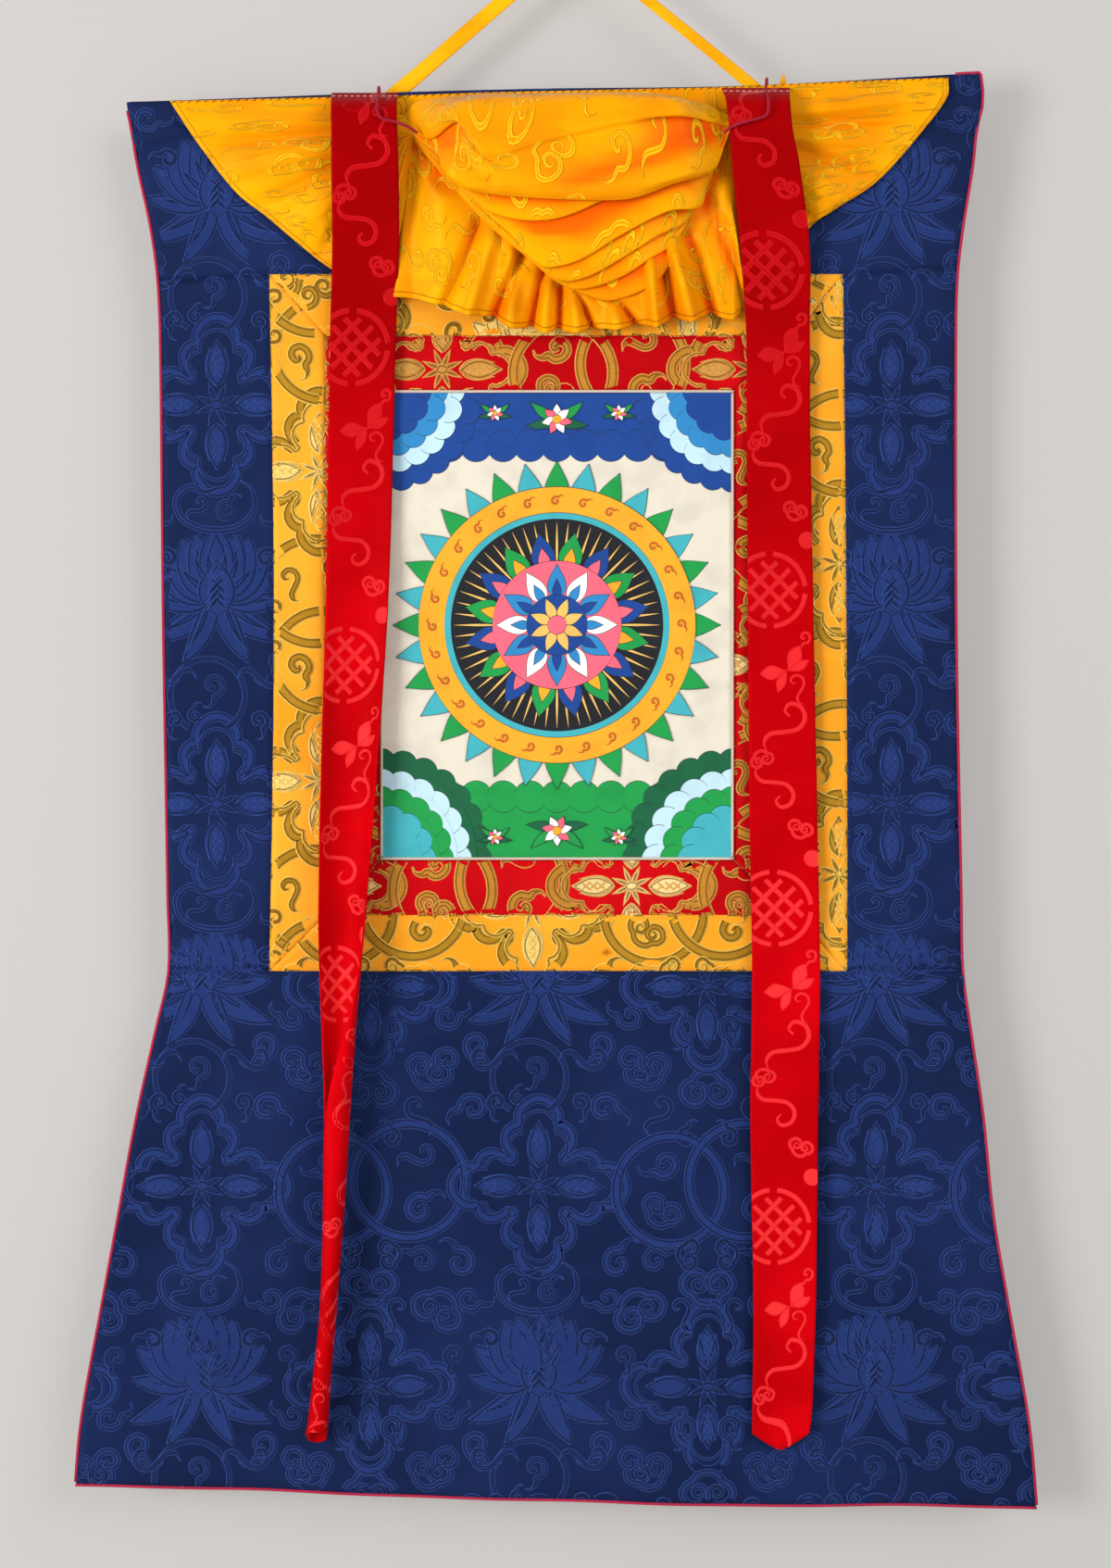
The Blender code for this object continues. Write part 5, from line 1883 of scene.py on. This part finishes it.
    def wing(self, edge: Sequence[SideRow], neck: Array) -> tuple[Array, Array]:
        """Build the cloth from a side edge to a neck.

        Args:
            edge: the side edge.
            neck: the points down the neck.

        Returns:
            The columns, with the neck itself left out, and the share of painted fold shade that each point
            gets.
        """
        count = len(neck)
        down = np.linspace(0, 1, count)
        marks = [row.share for row in edge]
        outer_x = curve_through(marks, [row.x for row in edge], down)
        outer_z = curve_through(marks, [row.z for row in edge], down)
        shares = np.linspace(0, 1, self.wing_columns + 1)[:-1]
        shares = 1 - (1 - shares) ** 1.15
        columns: list[Array] = []
        valleys: list[Array] = []
        trend = mix(neck[0, 2], neck[-1, 2], down)
        for share in shares:
            folded = float(steady((share - 0.82) / 0.18))
            gathered = float(steady((share - 0.70) / 0.30))
            x = mix(outer_x, neck[:, 0], share)
            z = mix(outer_z, trend, share) + (neck[:, 2] - trend) * folded
            z = np.minimum(z, DRAPE.top(x) - 0.0006 - 0.0001 * np.arange(count))
            y = mix(DRAPE.hang(x, z) - 0.0036, neck[:, 1], gathered)
            relief = self.wing_relief * crease_relief(WING_CREASES, x, z)
            relief = np.minimum(relief, self.wing_relief_most)
            inner = math.sin(math.pi * min(share * 1.1 + 0.05, 1)) * steady(down * 8) * steady((1 - down) * 8)
            # Painted shade: the wing's valleys get some of the warm fold colour.
            valleys.append(np.clip(-relief / 0.003, 0, 1) * inner)
            y = np.minimum(y - (relief + 0.0034) * inner, DRAPE.hang(x, z) - self.wing_clearance)
            columns.append(np.stack([x, y, z], axis=1))
        return np.stack(columns, axis=1), np.stack(valleys, axis=1)

    def soften(self, rows: Array, times: int = 1) -> Array:
        """Cut the corners of the columns, so that folds turn smoothly."""
        for _ in range(times):
            a, b = rows[:-1], rows[1:]
            cut = np.empty((2 * len(a), *rows.shape[1:]))
            cut[0::2], cut[1::2] = mix(a, b, 0.25), mix(a, b, 0.75)
            rows = np.concatenate([rows[:1], cut, rows[-1:]])
        return rows

    def shape(self) -> tuple[Surface, Array]:
        """Return the veil's surface and the share of painted fold glow and shade at each point."""
        share = np.linspace(0, 1, self.columns + 1)
        middle, depth = self.section(share)
        middle, depth = self.soften(middle), self.soften(depth)
        x, z = middle[..., 0], middle[..., 2]
        rows = len(middle)
        in_skirt = steady((np.arange(rows) - (rows - self.skirt_rows)) / 6)[:, None]
        in_front = (steady((np.arange(rows) - 10) / 4) * steady((34 - np.arange(rows)) / 4))[:, None]
        pleats = crease_relief(SKIRT_CREASES, x, z) * in_skirt
        tucks = crease_relief(FRONT_CREASES, x, z) * in_front
        middle[..., 1] -= self.pleat_depth * pleats + self.tuck_depth * tucks
        middle[..., 2] -= self.pleat_drop * pleats
        middle[..., 1] = np.minimum(middle[..., 1], DRAPE.hang(x, z) - 0.0030)
        # Painted shade: the skirt's pleats and the front's tucks darken to the warm fold colour in their
        # valleys.
        depth = np.clip(depth + np.clip(-pleats / 0.006, 0, 0.9) + np.clip(-tucks / 0.005, 0, 0.6), 0, 1)
        left, left_valleys = self.wing(LEFT_SIDE_EDGE, middle[:, 0])
        right, right_valleys = self.wing(RIGHT_SIDE_EDGE, middle[:, -1])
        right, right_valleys = right[:, ::-1], right_valleys[:, ::-1]
        points = np.concatenate([left, middle, right], axis=1)
        # Painted glow and shade in the wings: the necks' fold colour fades out towards the sides, beside the
        # wings' own painted valleys.
        fade = np.linspace(0, 1, left.shape[1])[None, :] ** 3
        left_fold_shade = np.maximum(depth[:, :1] * fade * 0.4, left_valleys * 0.3)
        right_fold_shade = np.maximum(depth[:, -1:] * fade[:, ::-1] * 0.4, right_valleys * 0.3)
        fold_shade = np.concatenate([left_fold_shade, depth, right_fold_shade], axis=1)
        across = np.linspace(0, 1, points.shape[1])
        return Surface(across, np.linspace(0, 1, rows), points), fold_shade

    def flat_map(self, surface: Surface) -> Callable[[Array, Array], tuple[Array, Array]]:
        """Return what turns places on the flat cloth, from its middle and its top, into shares."""
        along = np.linalg.norm(np.diff(surface.points, axis=1), axis=2).mean(axis=0)
        down = np.linalg.norm(np.diff(surface.points, axis=0), axis=2).mean(axis=1)
        run_x = np.concatenate([[0], np.cumsum(along)]) - along.sum() / 2
        run_z = -np.concatenate([[0], np.cumsum(down)])

        def locate(x: Array, z: Array) -> tuple[Array, Array]:
            """Return the shares."""
            return np.interp(x, run_x, surface.across), np.interp(-z, -run_z, surface.down)

        return locate

    def figures(self) -> Motif:
        """Return the silk's scattered curls, clouds and vines on the flat cloth."""
        strokes: Motif = []
        chance = random.Random(11)
        makers = (cloud, curl, vine, curl, cloud, vine)
        for row in range(self.figure_rows):
            for column in range(self.figure_columns):
                make = makers[(row * 5 + column) % len(makers)]
                x = -0.27 + 0.031 * column + (0.015 if row % 2 else 0) + chance.uniform(-0.004, 0.004)
                z = -0.012 - 0.027 * row + chance.uniform(-0.004, 0.004)
                turn = chance.uniform(-60, 60)
                strokes += placed(make(0.20), x, z, self.figure_size, turn, chance.random() < 0.5)
        return strokes

    def build(self) -> Surface:
        """Make the silk and its woven figures."""
        surface, fold_shade = self.shape()
        # The depth mark carries the painted fold glow and shade to the silk's finish.
        piece = cloth_piece("veil", surface, self.thickness, depth=fold_shade, edge=surface.edge_distance())
        show(piece, self.finish.veil, "veil_silk", "veil")
        figures = figures_piece(
            "veil_figures", self.figures(), surface, self.flat_map(surface), self.thickness / 2 + 0.00012
        )
        extras = [show(figures, self.finish.veil_figure, "veil_silk")]
        LOG.info("veil: area %.4f, lengths %s", surface.area(), surface.lengths())
        return surface


# Ribbons, strap and ties ---------------------------------------------------------------------------


class RibbonRow(NamedTuple):
    """A station of a ribbon: its middle, how far it stands off, its width and how far it is rolled."""

    z: float
    x: float
    stand: float
    wide: float
    roll: float


LEFT_RIBBON = named(
    RibbonRow,
    (-0.1025, -0.1358, 0.006, 1.0, 0), (-0.1065, -0.1357, 0.0115, 0.99, 4),
    (-0.1105, -0.1356, 0.0175, 0.98, 5), (-0.116, -0.1355, 0.0215, 0.98, 6),
    (-0.129, -0.1352, 0.0228, 0.98, 8), (-0.15, -0.135, 0.0205, 1.0, 6), (-0.2, -0.1351, 0.012, 1.0, 6),
    (-0.25, -0.137, 0.0065, 0.99, 10), (-0.32, -0.1386, 0.005, 0.98, 20),
    (-0.435, -0.141, 0.006, 0.98, 70), (-0.579, -0.1473, 0.008, 1.0, 140),
    (-0.668, -0.1509, 0.01, 1.0, 190), (-0.761, -0.1536, 0.0105, 1.0, 290),
    (-0.811, -0.1548, 0.011, 0.86, 318), (-0.884, -0.1587, 0.012, 0.66, 325),
    (-0.93, -0.163, 0.011, 0.72, 325), (-0.97, -0.1665, 0.01, 0.86, 325),
)
RIGHT_RIBBON = named(
    RibbonRow,
    (-0.099, 0.1158, 0.006, 1.02, 0), (-0.103, 0.1159, 0.0115, 0.99, 4),
    (-0.107, 0.116, 0.0175, 0.96, 5), (-0.113, 0.1163, 0.0215, 0.95, 6),
    (-0.129, 0.118, 0.0228, 0.94, 8), (-0.15, 0.121, 0.0215, 1.0, 6), (-0.2, 0.1275, 0.013, 1.04, 6),
    (-0.255, 0.13, 0.007, 0.96, 20), (-0.32, 0.1305, 0.0048, 0.96, 20),
    (-0.579, 0.1338, 0.006, 1.02, 16), (-0.668, 0.1353, 0.0062, 1.02, 14),
    (-0.761, 0.1341, 0.0072, 1.02, 20), (-0.884, 0.1344, 0.0068, 0.94, 24),
    (-0.95, 0.1328, 0.0062, 0.9, 20), (-0.965, 0.1318, 0.006, 0.86, 16),
)


@dataclass
class Ribbon:
    """A red strip that hangs in front of the cloth, its sides rolling forward lower down."""

    name: str
    table: tuple[RibbonRow, ...]
    pointed: bool
    finish: Finish
    point: float = 0.0110
    twist: float = 105.0
    twist_from: float = 0.62
    twist_over: float = 0.20
    thickness: float = 0.0010
    columns: int = 20
    rows: int = 260

    def read(self, column: str, z: Array) -> Array:
        """Read a column of the table at some heights."""
        return curve_through([-r.z for r in self.table], [getattr(r, column) for r in self.table], -z)

    def surface(self) -> Surface:
        """Return the strip's middle."""
        across = np.linspace(0, 1, self.columns + 1)
        top, foot = self.table[0].z, self.table[-1].z
        z = mix(top, foot, np.linspace(0, 1, self.rows + 1) ** 1.12)
        a, height = np.meshgrid(across, z)
        roll = np.radians(np.maximum(self.read("roll", height), 1.0))
        wide = self.read("wide", height)
        radius = RIBBON_WIDTH / roll
        twist = 0 if self.pointed else math.radians(self.twist)
        angle = (a - 0.5) * roll + twist * steady((-height - self.twist_from) / self.twist_over)
        middle = self.read("x", height)
        ripple = 0.0006 * np.sin(height * 95 + 3 * a) * steady((-height - 0.16) / 0.1)
        x = middle + radius * np.sin(angle) * wide
        stand = self.read("stand", height) + np.minimum(radius * (1 - np.cos(angle)), 0.018) + ripple
        y = DRAPE.hang(middle, np.maximum(height, -0.99)) - stand
        if self.pointed:
            near = steady((foot + 0.012 - height) / 0.012)
            height = height - near * self.point * (1 - np.abs(2 * a - 1) ** 1.3)
        else:
            near = steady((foot + 0.016 - height) / 0.016)
            height = height + near * 0.010 * (1 - np.cos(angle)) / 2
        points = np.stack([x, y, height], axis=2)
        run = np.concatenate([[0], np.cumsum(-np.diff(z))])
        return Surface(across, run / run[-1], points)

    def figures(self, length: float) -> Motif:
        """Return the damask's figures on the flat strip: x across from its middle, z down from its top."""
        strokes: Motif = []
        spot = (-0.030 if self.pointed else -0.075) + RIBBON_REPEAT
        while spot > -length - 0.10:
            for make, x, down, size, turn, flip in RIBBON_ITEMS:
                strokes += placed(make(), x, spot - down, size, turn, flip)
            spot -= RIBBON_REPEAT
        # Painted shade: the figures are darker near the strip's top and paler lower down, in step with the
        # ground's painted shade.
        return [Stroke(s.line, s.width, float(steady((-s.line[:, 1].mean() - 0.08) / 0.45))) for s in strokes]

    def build(self) -> Surface:
        """Make the strip and its figures, front and back."""
        surface = self.surface()
        piece = show(
            cloth_piece(self.name, surface, self.thickness), self.finish.ribbon, "ribbon_silk", self.name
        )
        length = self.table[0].z - self.table[-1].z
        extras = []

        def locate(x: Array, z: Array) -> tuple[Array, Array]:
            """Return the shares."""
            return x / RIBBON_WIDTH + 0.5, -z / length

        for side, word in ((1.0, "front"), (-1.0, "back")):
            figures = figures_piece(
                f"{self.name}_figures_{word}", self.figures(length), surface, locate,
                self.thickness / 2 + 0.00008, side,
            )
            extras.append(show(figures, self.finish.ribbon_figure, "ribbon_silk"))
        declare_sheet(piece, surface, "hung", ["navy_top"], *extras)
        return surface


RIBBON_REPEAT = 0.205


def fretwork() -> Motif:
    """A round frame round a diagonal lattice, a geometric stand-in for a woven roundel."""
    width, gap = 0.13, 0.36
    strokes = [ring(0, 0, 0.92, width, start=90 * k + 6, sweep=78, steps=14) for k in range(4)]
    for k in range(-1, 2):
        reach = math.sqrt(0.74 ** 2 - (k * gap) ** 2)
        for turn in (45, 135):
            run = np.linspace(-reach, reach, 12)
            line = turned(np.stack([run, np.full(12, k * gap)], axis=1), turn)
            strokes.append(Stroke(line, np.full(12, width)))
    return strokes


def knot() -> Motif:
    """A tied bow with two loops and two tails."""
    strokes = [petal(0, 0, angle, 0.95, 0.5, belly=1.3) for angle in (28, 152)]
    strokes += [petal(0, 0, angle, 0.8, 0.34, bend=0.2, belly=1.2) for angle in (-20, 200)]
    return strokes + placed(vine(0.16), 0.0, -0.7, 0.6, 80)


def gourd() -> Motif:
    """A round fruit with two leaves."""
    leaves = [petal(0.1, 0.5, 60, 0.9, 0.34, bend=0.3), petal(-0.1, 0.5, 130, 0.7, 0.28, bend=-0.3)]
    return [disc(0, 0, 0.62), *leaves]


RIBBON_ITEMS = (
    (partial(vine, 0.15), -0.004, 0.010, 0.0190, 120, True),
    (partial(cloud, 0.26), 0.011, 0.036, 0.0090, 160, False),
    (gourd, 0.018, 0.056, 0.0090, -60, False),
    (fretwork, -0.007, 0.088, 0.0255, 0, False),
    (partial(curl, 0.22), 0.015, 0.120, 0.0085, 20, False),
    (knot, 0.004, 0.140, 0.0190, 35, False),
    (partial(vine, 0.14), 0.003, 0.176, 0.0215, 62, False),
    (partial(cloud, 0.26), -0.013, 0.198, 0.0085, 20, False),
)


class StrapRow(NamedTuple):
    """A station of the strap: its middle, its width and its turn about Y in degrees."""

    x: float
    z: float
    y: float
    width: float
    turn: float


STRAP = named(
    StrapRow,
    (-0.125, -0.116, 0.0012, 0.009, 43), (-0.1224, -0.105, 0.0008, 0.0098, 43),
    (-0.098, -0.084, -0.001, 0.0096, 43), (-0.047, -0.04, -0.0012, 0.0094, 42),
    (-0.017, -0.0145, -0.0008, 0.0078, 41), (-0.007, -0.006, -0.0004, 0.0066, 32),
    (0.0, -0.0033, 0.0, 0.006, 0), (0.007, -0.006, -0.0004, 0.006, -32),
    (0.017, -0.015, -0.0008, 0.0064, -42), (0.048, -0.0405, -0.0012, 0.0066, -40),
    (0.09, -0.0745, -0.001, 0.007, -39), (0.119, -0.0985, 0.0004, 0.0078, -38),
    (0.125, -0.106, 0.001, 0.0088, -24), (0.1262, -0.113, 0.0016, 0.0092, -5),
    (0.1268, -0.115, 0.003, 0.0094, 0), (0.129, -0.111, 0.0043, 0.0096, 8),
    (0.133, -0.099, 0.0043, 0.0098, 14), (0.1365, -0.0905, 0.004, 0.0104, 16),
)


@dataclass
class Strap:
    """The folded yellow strip from which the scroll hangs."""

    finish: Finish
    thickness: float = 0.0014
    rows: int = 150
    columns: int = 8

    def build(self) -> None:
        """Make the strap."""
        marks = np.arange(len(STRAP))
        table = np.asarray(STRAP)
        run = run_along(table[:, :2])
        at = np.interp(np.linspace(0, run[-1], self.rows + 1), run, marks)
        x, z, y, width, turn = (curve_through(marks, table[:, k], at)[:, None] for k in range(5))
        across = np.linspace(0, 1, self.columns + 1)[None, :]
        angle = np.radians(turn + 90)
        reach = (0.5 - across) * width
        fold = 0.0007 * np.sin(np.pi * across) - 0.0004 * np.exp(-(((across - 0.36) / 0.08) ** 2))
        points = np.stack(
            [x + reach * np.cos(angle), y - fold + 0 * reach, z + reach * np.sin(angle)], axis=2
        )
        surface = Surface(across[0], np.linspace(0, 1, self.rows + 1), points)
        marks = {"depth": np.zeros(points.shape[:2]), "edge": np.ones(points.shape[:2])}
        piece = cloth_piece("hanging_strap", surface, self.thickness, **marks)
        show(piece, self.finish.strap, "strap_silk", "hanging_strap")
        declare_sheet(piece, surface, "hung", ["navy_top"])


class TieRow(NamedTuple):
    """A station of a tie, with how far it stands in front of the drape."""

    x: float
    z: float
    stand: float


LEFT_TIE = named(
    TieRow,
    (-0.127, -0.106, -0.0038), (-0.1271, -0.1005, -0.0038), (-0.1272, -0.098, -0.0008),
    (-0.1272, -0.098, 0.0045), (-0.127, -0.102, 0.0103), (-0.1269, -0.1065, 0.0165),
    (-0.1268, -0.111, 0.0232), (-0.1267, -0.1195, 0.0262), (-0.1235, -0.1238, 0.0265),
    (-0.115, -0.1258, 0.0265), (-0.106, -0.129, 0.025), (-0.1015, -0.1318, 0.0225),
)
RIGHT_TIE = named(
    TieRow,
    (0.1245, -0.0985, -0.01), (0.1241, -0.094, -0.008), (0.1236, -0.0922, -0.001),
    (0.123, -0.0925, 0.005), (0.122, -0.0985, 0.0105), (0.122, -0.103, 0.0165),
    (0.1222, -0.1075, 0.0232), (0.1224, -0.1175, 0.0264), (0.1196, -0.1222, 0.0268),
    (0.111, -0.1245, 0.0268), (0.1, -0.128, 0.0268), (0.0945, -0.1315, 0.024),
)


@dataclass
class Tie:
    """A crimson cord that goes over the top edge, down the ribbon and round the veil's neck."""

    name: str
    table: tuple[TieRow, ...]
    finish: Finish

    def build(self) -> None:
        marks = np.arange(len(self.table))
        at = np.linspace(0, len(self.table) - 1, 3 * (len(self.table) - 1) + 1)
        x, z, stand = (curve_through(marks, [row[k] for row in self.table], at) for k in range(3))
        points = np.stack([x, DRAPE.hang(x, z) - stand, z], axis=1)
        curve = poly_curve(self.name, points)
        curve.bevel_depth = TIE_RADIUS
        curve.bevel_resolution = 3
        curve.use_fill_caps = True
        piece = linked(f"{self.name}_cord", curve)
        show(piece, self.finish.tie, "tie_cord", self.name)


# Stitches ------------------------------------------------------------------------------------------


class Stitches:
    """Rows of thread stitches, scattered along lines by one node tree."""

    def __init__(self) -> None:
        """Build the tree: even points along a curve, each with a thread bead turned along it."""
        tree = bpy.data.node_groups.new("Stitch row", "GeometryNodeTree")
        for name, kind, default in (
            ("Geometry", "NodeSocketGeometry", None), ("Pitch", "NodeSocketFloat", 0.004),
            ("Length", "NodeSocketFloat", 0.003), ("Thread", "NodeSocketFloat", 0.0003),
            ("Lean", "NodeSocketFloat", 0.0), ("Seed", "NodeSocketInt", 1),
            ("Material", "NodeSocketMaterial", None),
        ):
            socket = tree.interface.new_socket(name, in_out="INPUT", socket_type=kind)
            if default is not None:
                socket.default_value = default
        tree.interface.new_socket("Geometry", in_out="OUTPUT", socket_type="NodeSocketGeometry")
        self.tree = tree
        given = self.node("NodeGroupInput").outputs
        points = self.node("GeometryNodeCurveToPoints", {"mode": "LENGTH"},
                           {"Curve": given["Geometry"], "Length": given["Pitch"]})
        bead = self.node("GeometryNodeMeshUVSphere", None, {"Segments": 6, "Rings": 5, "Radius": 0.5})
        size = self.node("ShaderNodeCombineXYZ", None,
                         {"X": given["Thread"], "Y": given["Thread"], "Z": given["Length"]})
        lean = self.node("ShaderNodeCombineXYZ", None, {"X": given["Lean"]})
        wobble = self.node("FunctionNodeRandomValue", {"data_type": "FLOAT_VECTOR"}, {"Seed": given["Seed"]})
        wobble.inputs[0].default_value = (-0.12, -0.12, -0.12)
        wobble.inputs[1].default_value = (0.12, 0.12, 0.12)
        tilt = self.node("ShaderNodeVectorMath", {"operation": "ADD"})
        tree.links.new(lean.outputs[0], tilt.inputs[0])
        tree.links.new(wobble.outputs[0], tilt.inputs[1])
        turn = self.node("FunctionNodeRotateRotation", {"rotation_space": "LOCAL"},
                         {"Rotation": points.outputs["Rotation"], "Rotate By": tilt.outputs[0]})
        threads = self.node("GeometryNodeInstanceOnPoints", None, {
            "Points": points.outputs["Points"], "Instance": bead.outputs["Mesh"],
            "Rotation": turn.outputs[0], "Scale": size.outputs[0],
        })
        real = self.node("GeometryNodeRealizeInstances", None, {"Geometry": threads.outputs[0]})
        smooth = self.node("GeometryNodeSetShadeSmooth", None, {"Geometry": real.outputs[0]})
        dressed = self.node("GeometryNodeSetMaterial", None,
                            {"Geometry": smooth.outputs[0], "Material": given["Material"]})
        self.node("NodeGroupOutput", None, {0: dressed.outputs[0]})

    def node(self, kind: str, settings: dict | None = None, inputs: dict | None = None) -> bpy.types.Node:
        """Add a node, with its own properties and its sockets' links or values."""
        node = self.tree.nodes.new(kind)
        for key, value in (settings or {}).items():
            setattr(node, key, value)
        for key, value in (inputs or {}).items():
            if isinstance(value, bpy.types.NodeSocket):
                self.tree.links.new(value, node.inputs[key])
            else:
                node.inputs[key].default_value = value
        return node

    def sew(
        self, name: str, points: Array, material: bpy.types.Material, slot: str,
        pitch: float, length: float, thread: float, lean: float = 0.0, seed: int = 1,
    ) -> bpy.types.Object:
        """Sew a row.

        Args:
            name: the piece's name.
            points: the line that the row follows.
            material: the thread's finish.
            slot: the record's slot.
            pitch: from one stitch to the next.
            length: a stitch's length.
            thread: the thread's thickness.
            lean: how far each stitch is turned off the line, in radians.
            seed: starts the small differences between stitches.

        Returns:
            The row as a mesh.
        """
        piece = linked(name, poly_curve(name, points))
        threads = piece.modifiers.new("Stitches", "NODES")
        threads.node_group = self.tree
        values = {"Pitch": pitch, "Length": length, "Thread": thread, "Lean": lean, "Seed": seed,
                  "Material": material}
        for item in self.tree.interface.items_tree:
            if item.in_out == "INPUT" and item.name in values:
                threads[item.identifier] = values[item.name]
        return show(settled(piece), material, slot)


def line_across(surface: Surface, margin: float, down: float, lift: float, steps: int) -> Array:
    """Return a level line on a cloth between two margins, lifted off its middle."""
    place, normal = surface.at(np.linspace(margin, 1 - margin, steps), np.full(steps, down))
    return place + normal * lift


# Studio --------------------------------------------------------------------------------------------


@dataclass
class Studio:
    """Camera, light, floor and a pale backdrop that only the camera sees."""

    eye: tuple[float, float, float] = (-0.0132, -1.7, -0.547)
    lens: float = 60.2
    backdrop: Colour = linear(205, 199, 194)
    floor: Colour = linear(214, 212, 208)

    def camera(self) -> None:
        """Look straight along +Y."""
        data = bpy.data.cameras.new("Camera")
        data.lens = self.lens
        data.clip_start = 0.05
        camera = linked("Camera", data)
        camera.location = self.eye
        camera.rotation_euler = (math.radians(90), 0, 0)
        bpy.context.scene.camera = camera

    def light(self) -> None:
        """Hang one large soft key at the upper left, a weak fill at the right and a pale sky."""
        for name, place, aim, size, power in (
            ("Key", (-2.3, -2.3, -0.45), (0.0, 0.0, -0.60), 1.2, 76.0),
            ("Fill", (1.6, -2.2, 0.6), (0.0, 0.0, -0.5), 1.6, 30.0),
        ):
            data = bpy.data.lights.new(name, "AREA")
            data.shape = "SQUARE"
            data.size = size
            data.energy = power
            lamp = linked(name, data)
            lamp.location = place
            heading = np.subtract(aim, place)
            flat = math.hypot(heading[0], heading[1])
            lamp.rotation_euler = (math.atan2(flat, -heading[2]), 0, math.atan2(-heading[0], heading[1]))
        world = bpy.data.worlds.new("Sky")
        world.use_nodes = True
        world.node_tree.nodes["Background"].inputs[0].default_value = (0.93, 0.96, 1.0, 1)
        world.node_tree.nodes["Background"].inputs[1].default_value = 0.55
        bpy.context.scene.world = world
        bpy.context.scene.view_settings.view_transform = "Standard"

    def plane(self, name: str, corners: Sequence[Colour], colour: Colour) -> bpy.types.Object:
        """Make one stage plane."""
        mesh = bpy.data.meshes.new(name)
        mesh.from_pydata(list(corners), [], [(0, 1, 2, 3)])
        material = bpy.data.materials.new(name)
        material.use_nodes = True
        shader = material.node_tree.nodes["Principled BSDF"]
        shader.inputs["Base Color"].default_value = (*colour, 1)
        shader.inputs["Roughness"].default_value = 0.9
        mesh.materials.append(material)
        piece = linked(name, mesh)
        return piece

    def stage(self) -> None:
        """Lay the floor and stand the backdrop, which is clear from behind."""
        self.plane("Floor", ((-3, -3, -1.22), (3, -3, -1.22), (3, 3, -1.22), (-3, 3, -1.22)), self.floor)
        wall = self.plane("Backdrop", ((-2, 0.03, -1.22), (2, 0.03, -1.22), (2, 0.03, 1.5), (-2, 0.03, 1.5)),
                          self.backdrop)
        tree = wall.data.materials[0].node_tree
        shader, output = tree.nodes["Principled BSDF"], tree.nodes["Material Output"]
        kinds = ("BsdfTransparent", "MixShader", "NewGeometry")
        clear, join, facing = (tree.nodes.new(f"ShaderNode{kind}") for kind in kinds)
        tree.links.new(facing.outputs["Backfacing"], join.inputs[0])
        tree.links.new(shader.outputs[0], join.inputs[1])
        tree.links.new(clear.outputs[0], join.inputs[2])
        tree.links.new(join.outputs[0], output.inputs["Surface"])
        shader.inputs["Emission Color"].default_value = (*self.backdrop, 1)
        shader.inputs["Emission Strength"].default_value = 0.43
        shader.inputs["Base Color"].default_value = (0.30, 0.29, 0.28, 1)
        wall.visible_diffuse = wall.visible_glossy = wall.visible_transmission = wall.visible_shadow = False

    def build(self) -> None:
        """Set everything up."""
        self.camera()
        self.light()
        self.stage()


def main() -> None:
    """Build the scroll from the back to the front."""
    logging.basicConfig(level=logging.INFO, format="%(message)s")
    random.seed(7)
    Studio().build()
    finish = Finish()
    Tie("tie_left", LEFT_TIE, finish).build()
    Tie("tie_right", RIGHT_TIE, finish).build()
    SewnFrame(finish).build()
    Painting(finish).build()
    veil = Veil(finish)
    silk = veil.build()
    left = Ribbon("ribbon_left", LEFT_RIBBON, False, finish).build()
    right = Ribbon("ribbon_right", RIGHT_RIBBON, True, finish).build()
    Strap(finish).build()
    needle = Stitches()
    top = line_across(silk, 0.002, 0.004, veil.thickness / 2 + 0.0002, 200)
    needle.sew("veil_top_stitches", top, finish.dark, "veil_silk", 0.0052, 0.0030, 0.0005, 0.5, 3)
    for side, surface in (("left", left), ("right", right)):
        row = line_across(surface, 0.03, 0.004, 0.0006, 30)
        name = f"ribbon_{side}_stitches_0"
        needle.sew(name, row, finish.white, "ribbon_silk", 0.0040, 0.0026, 0.0005)


if __name__ == "__main__":
    main()
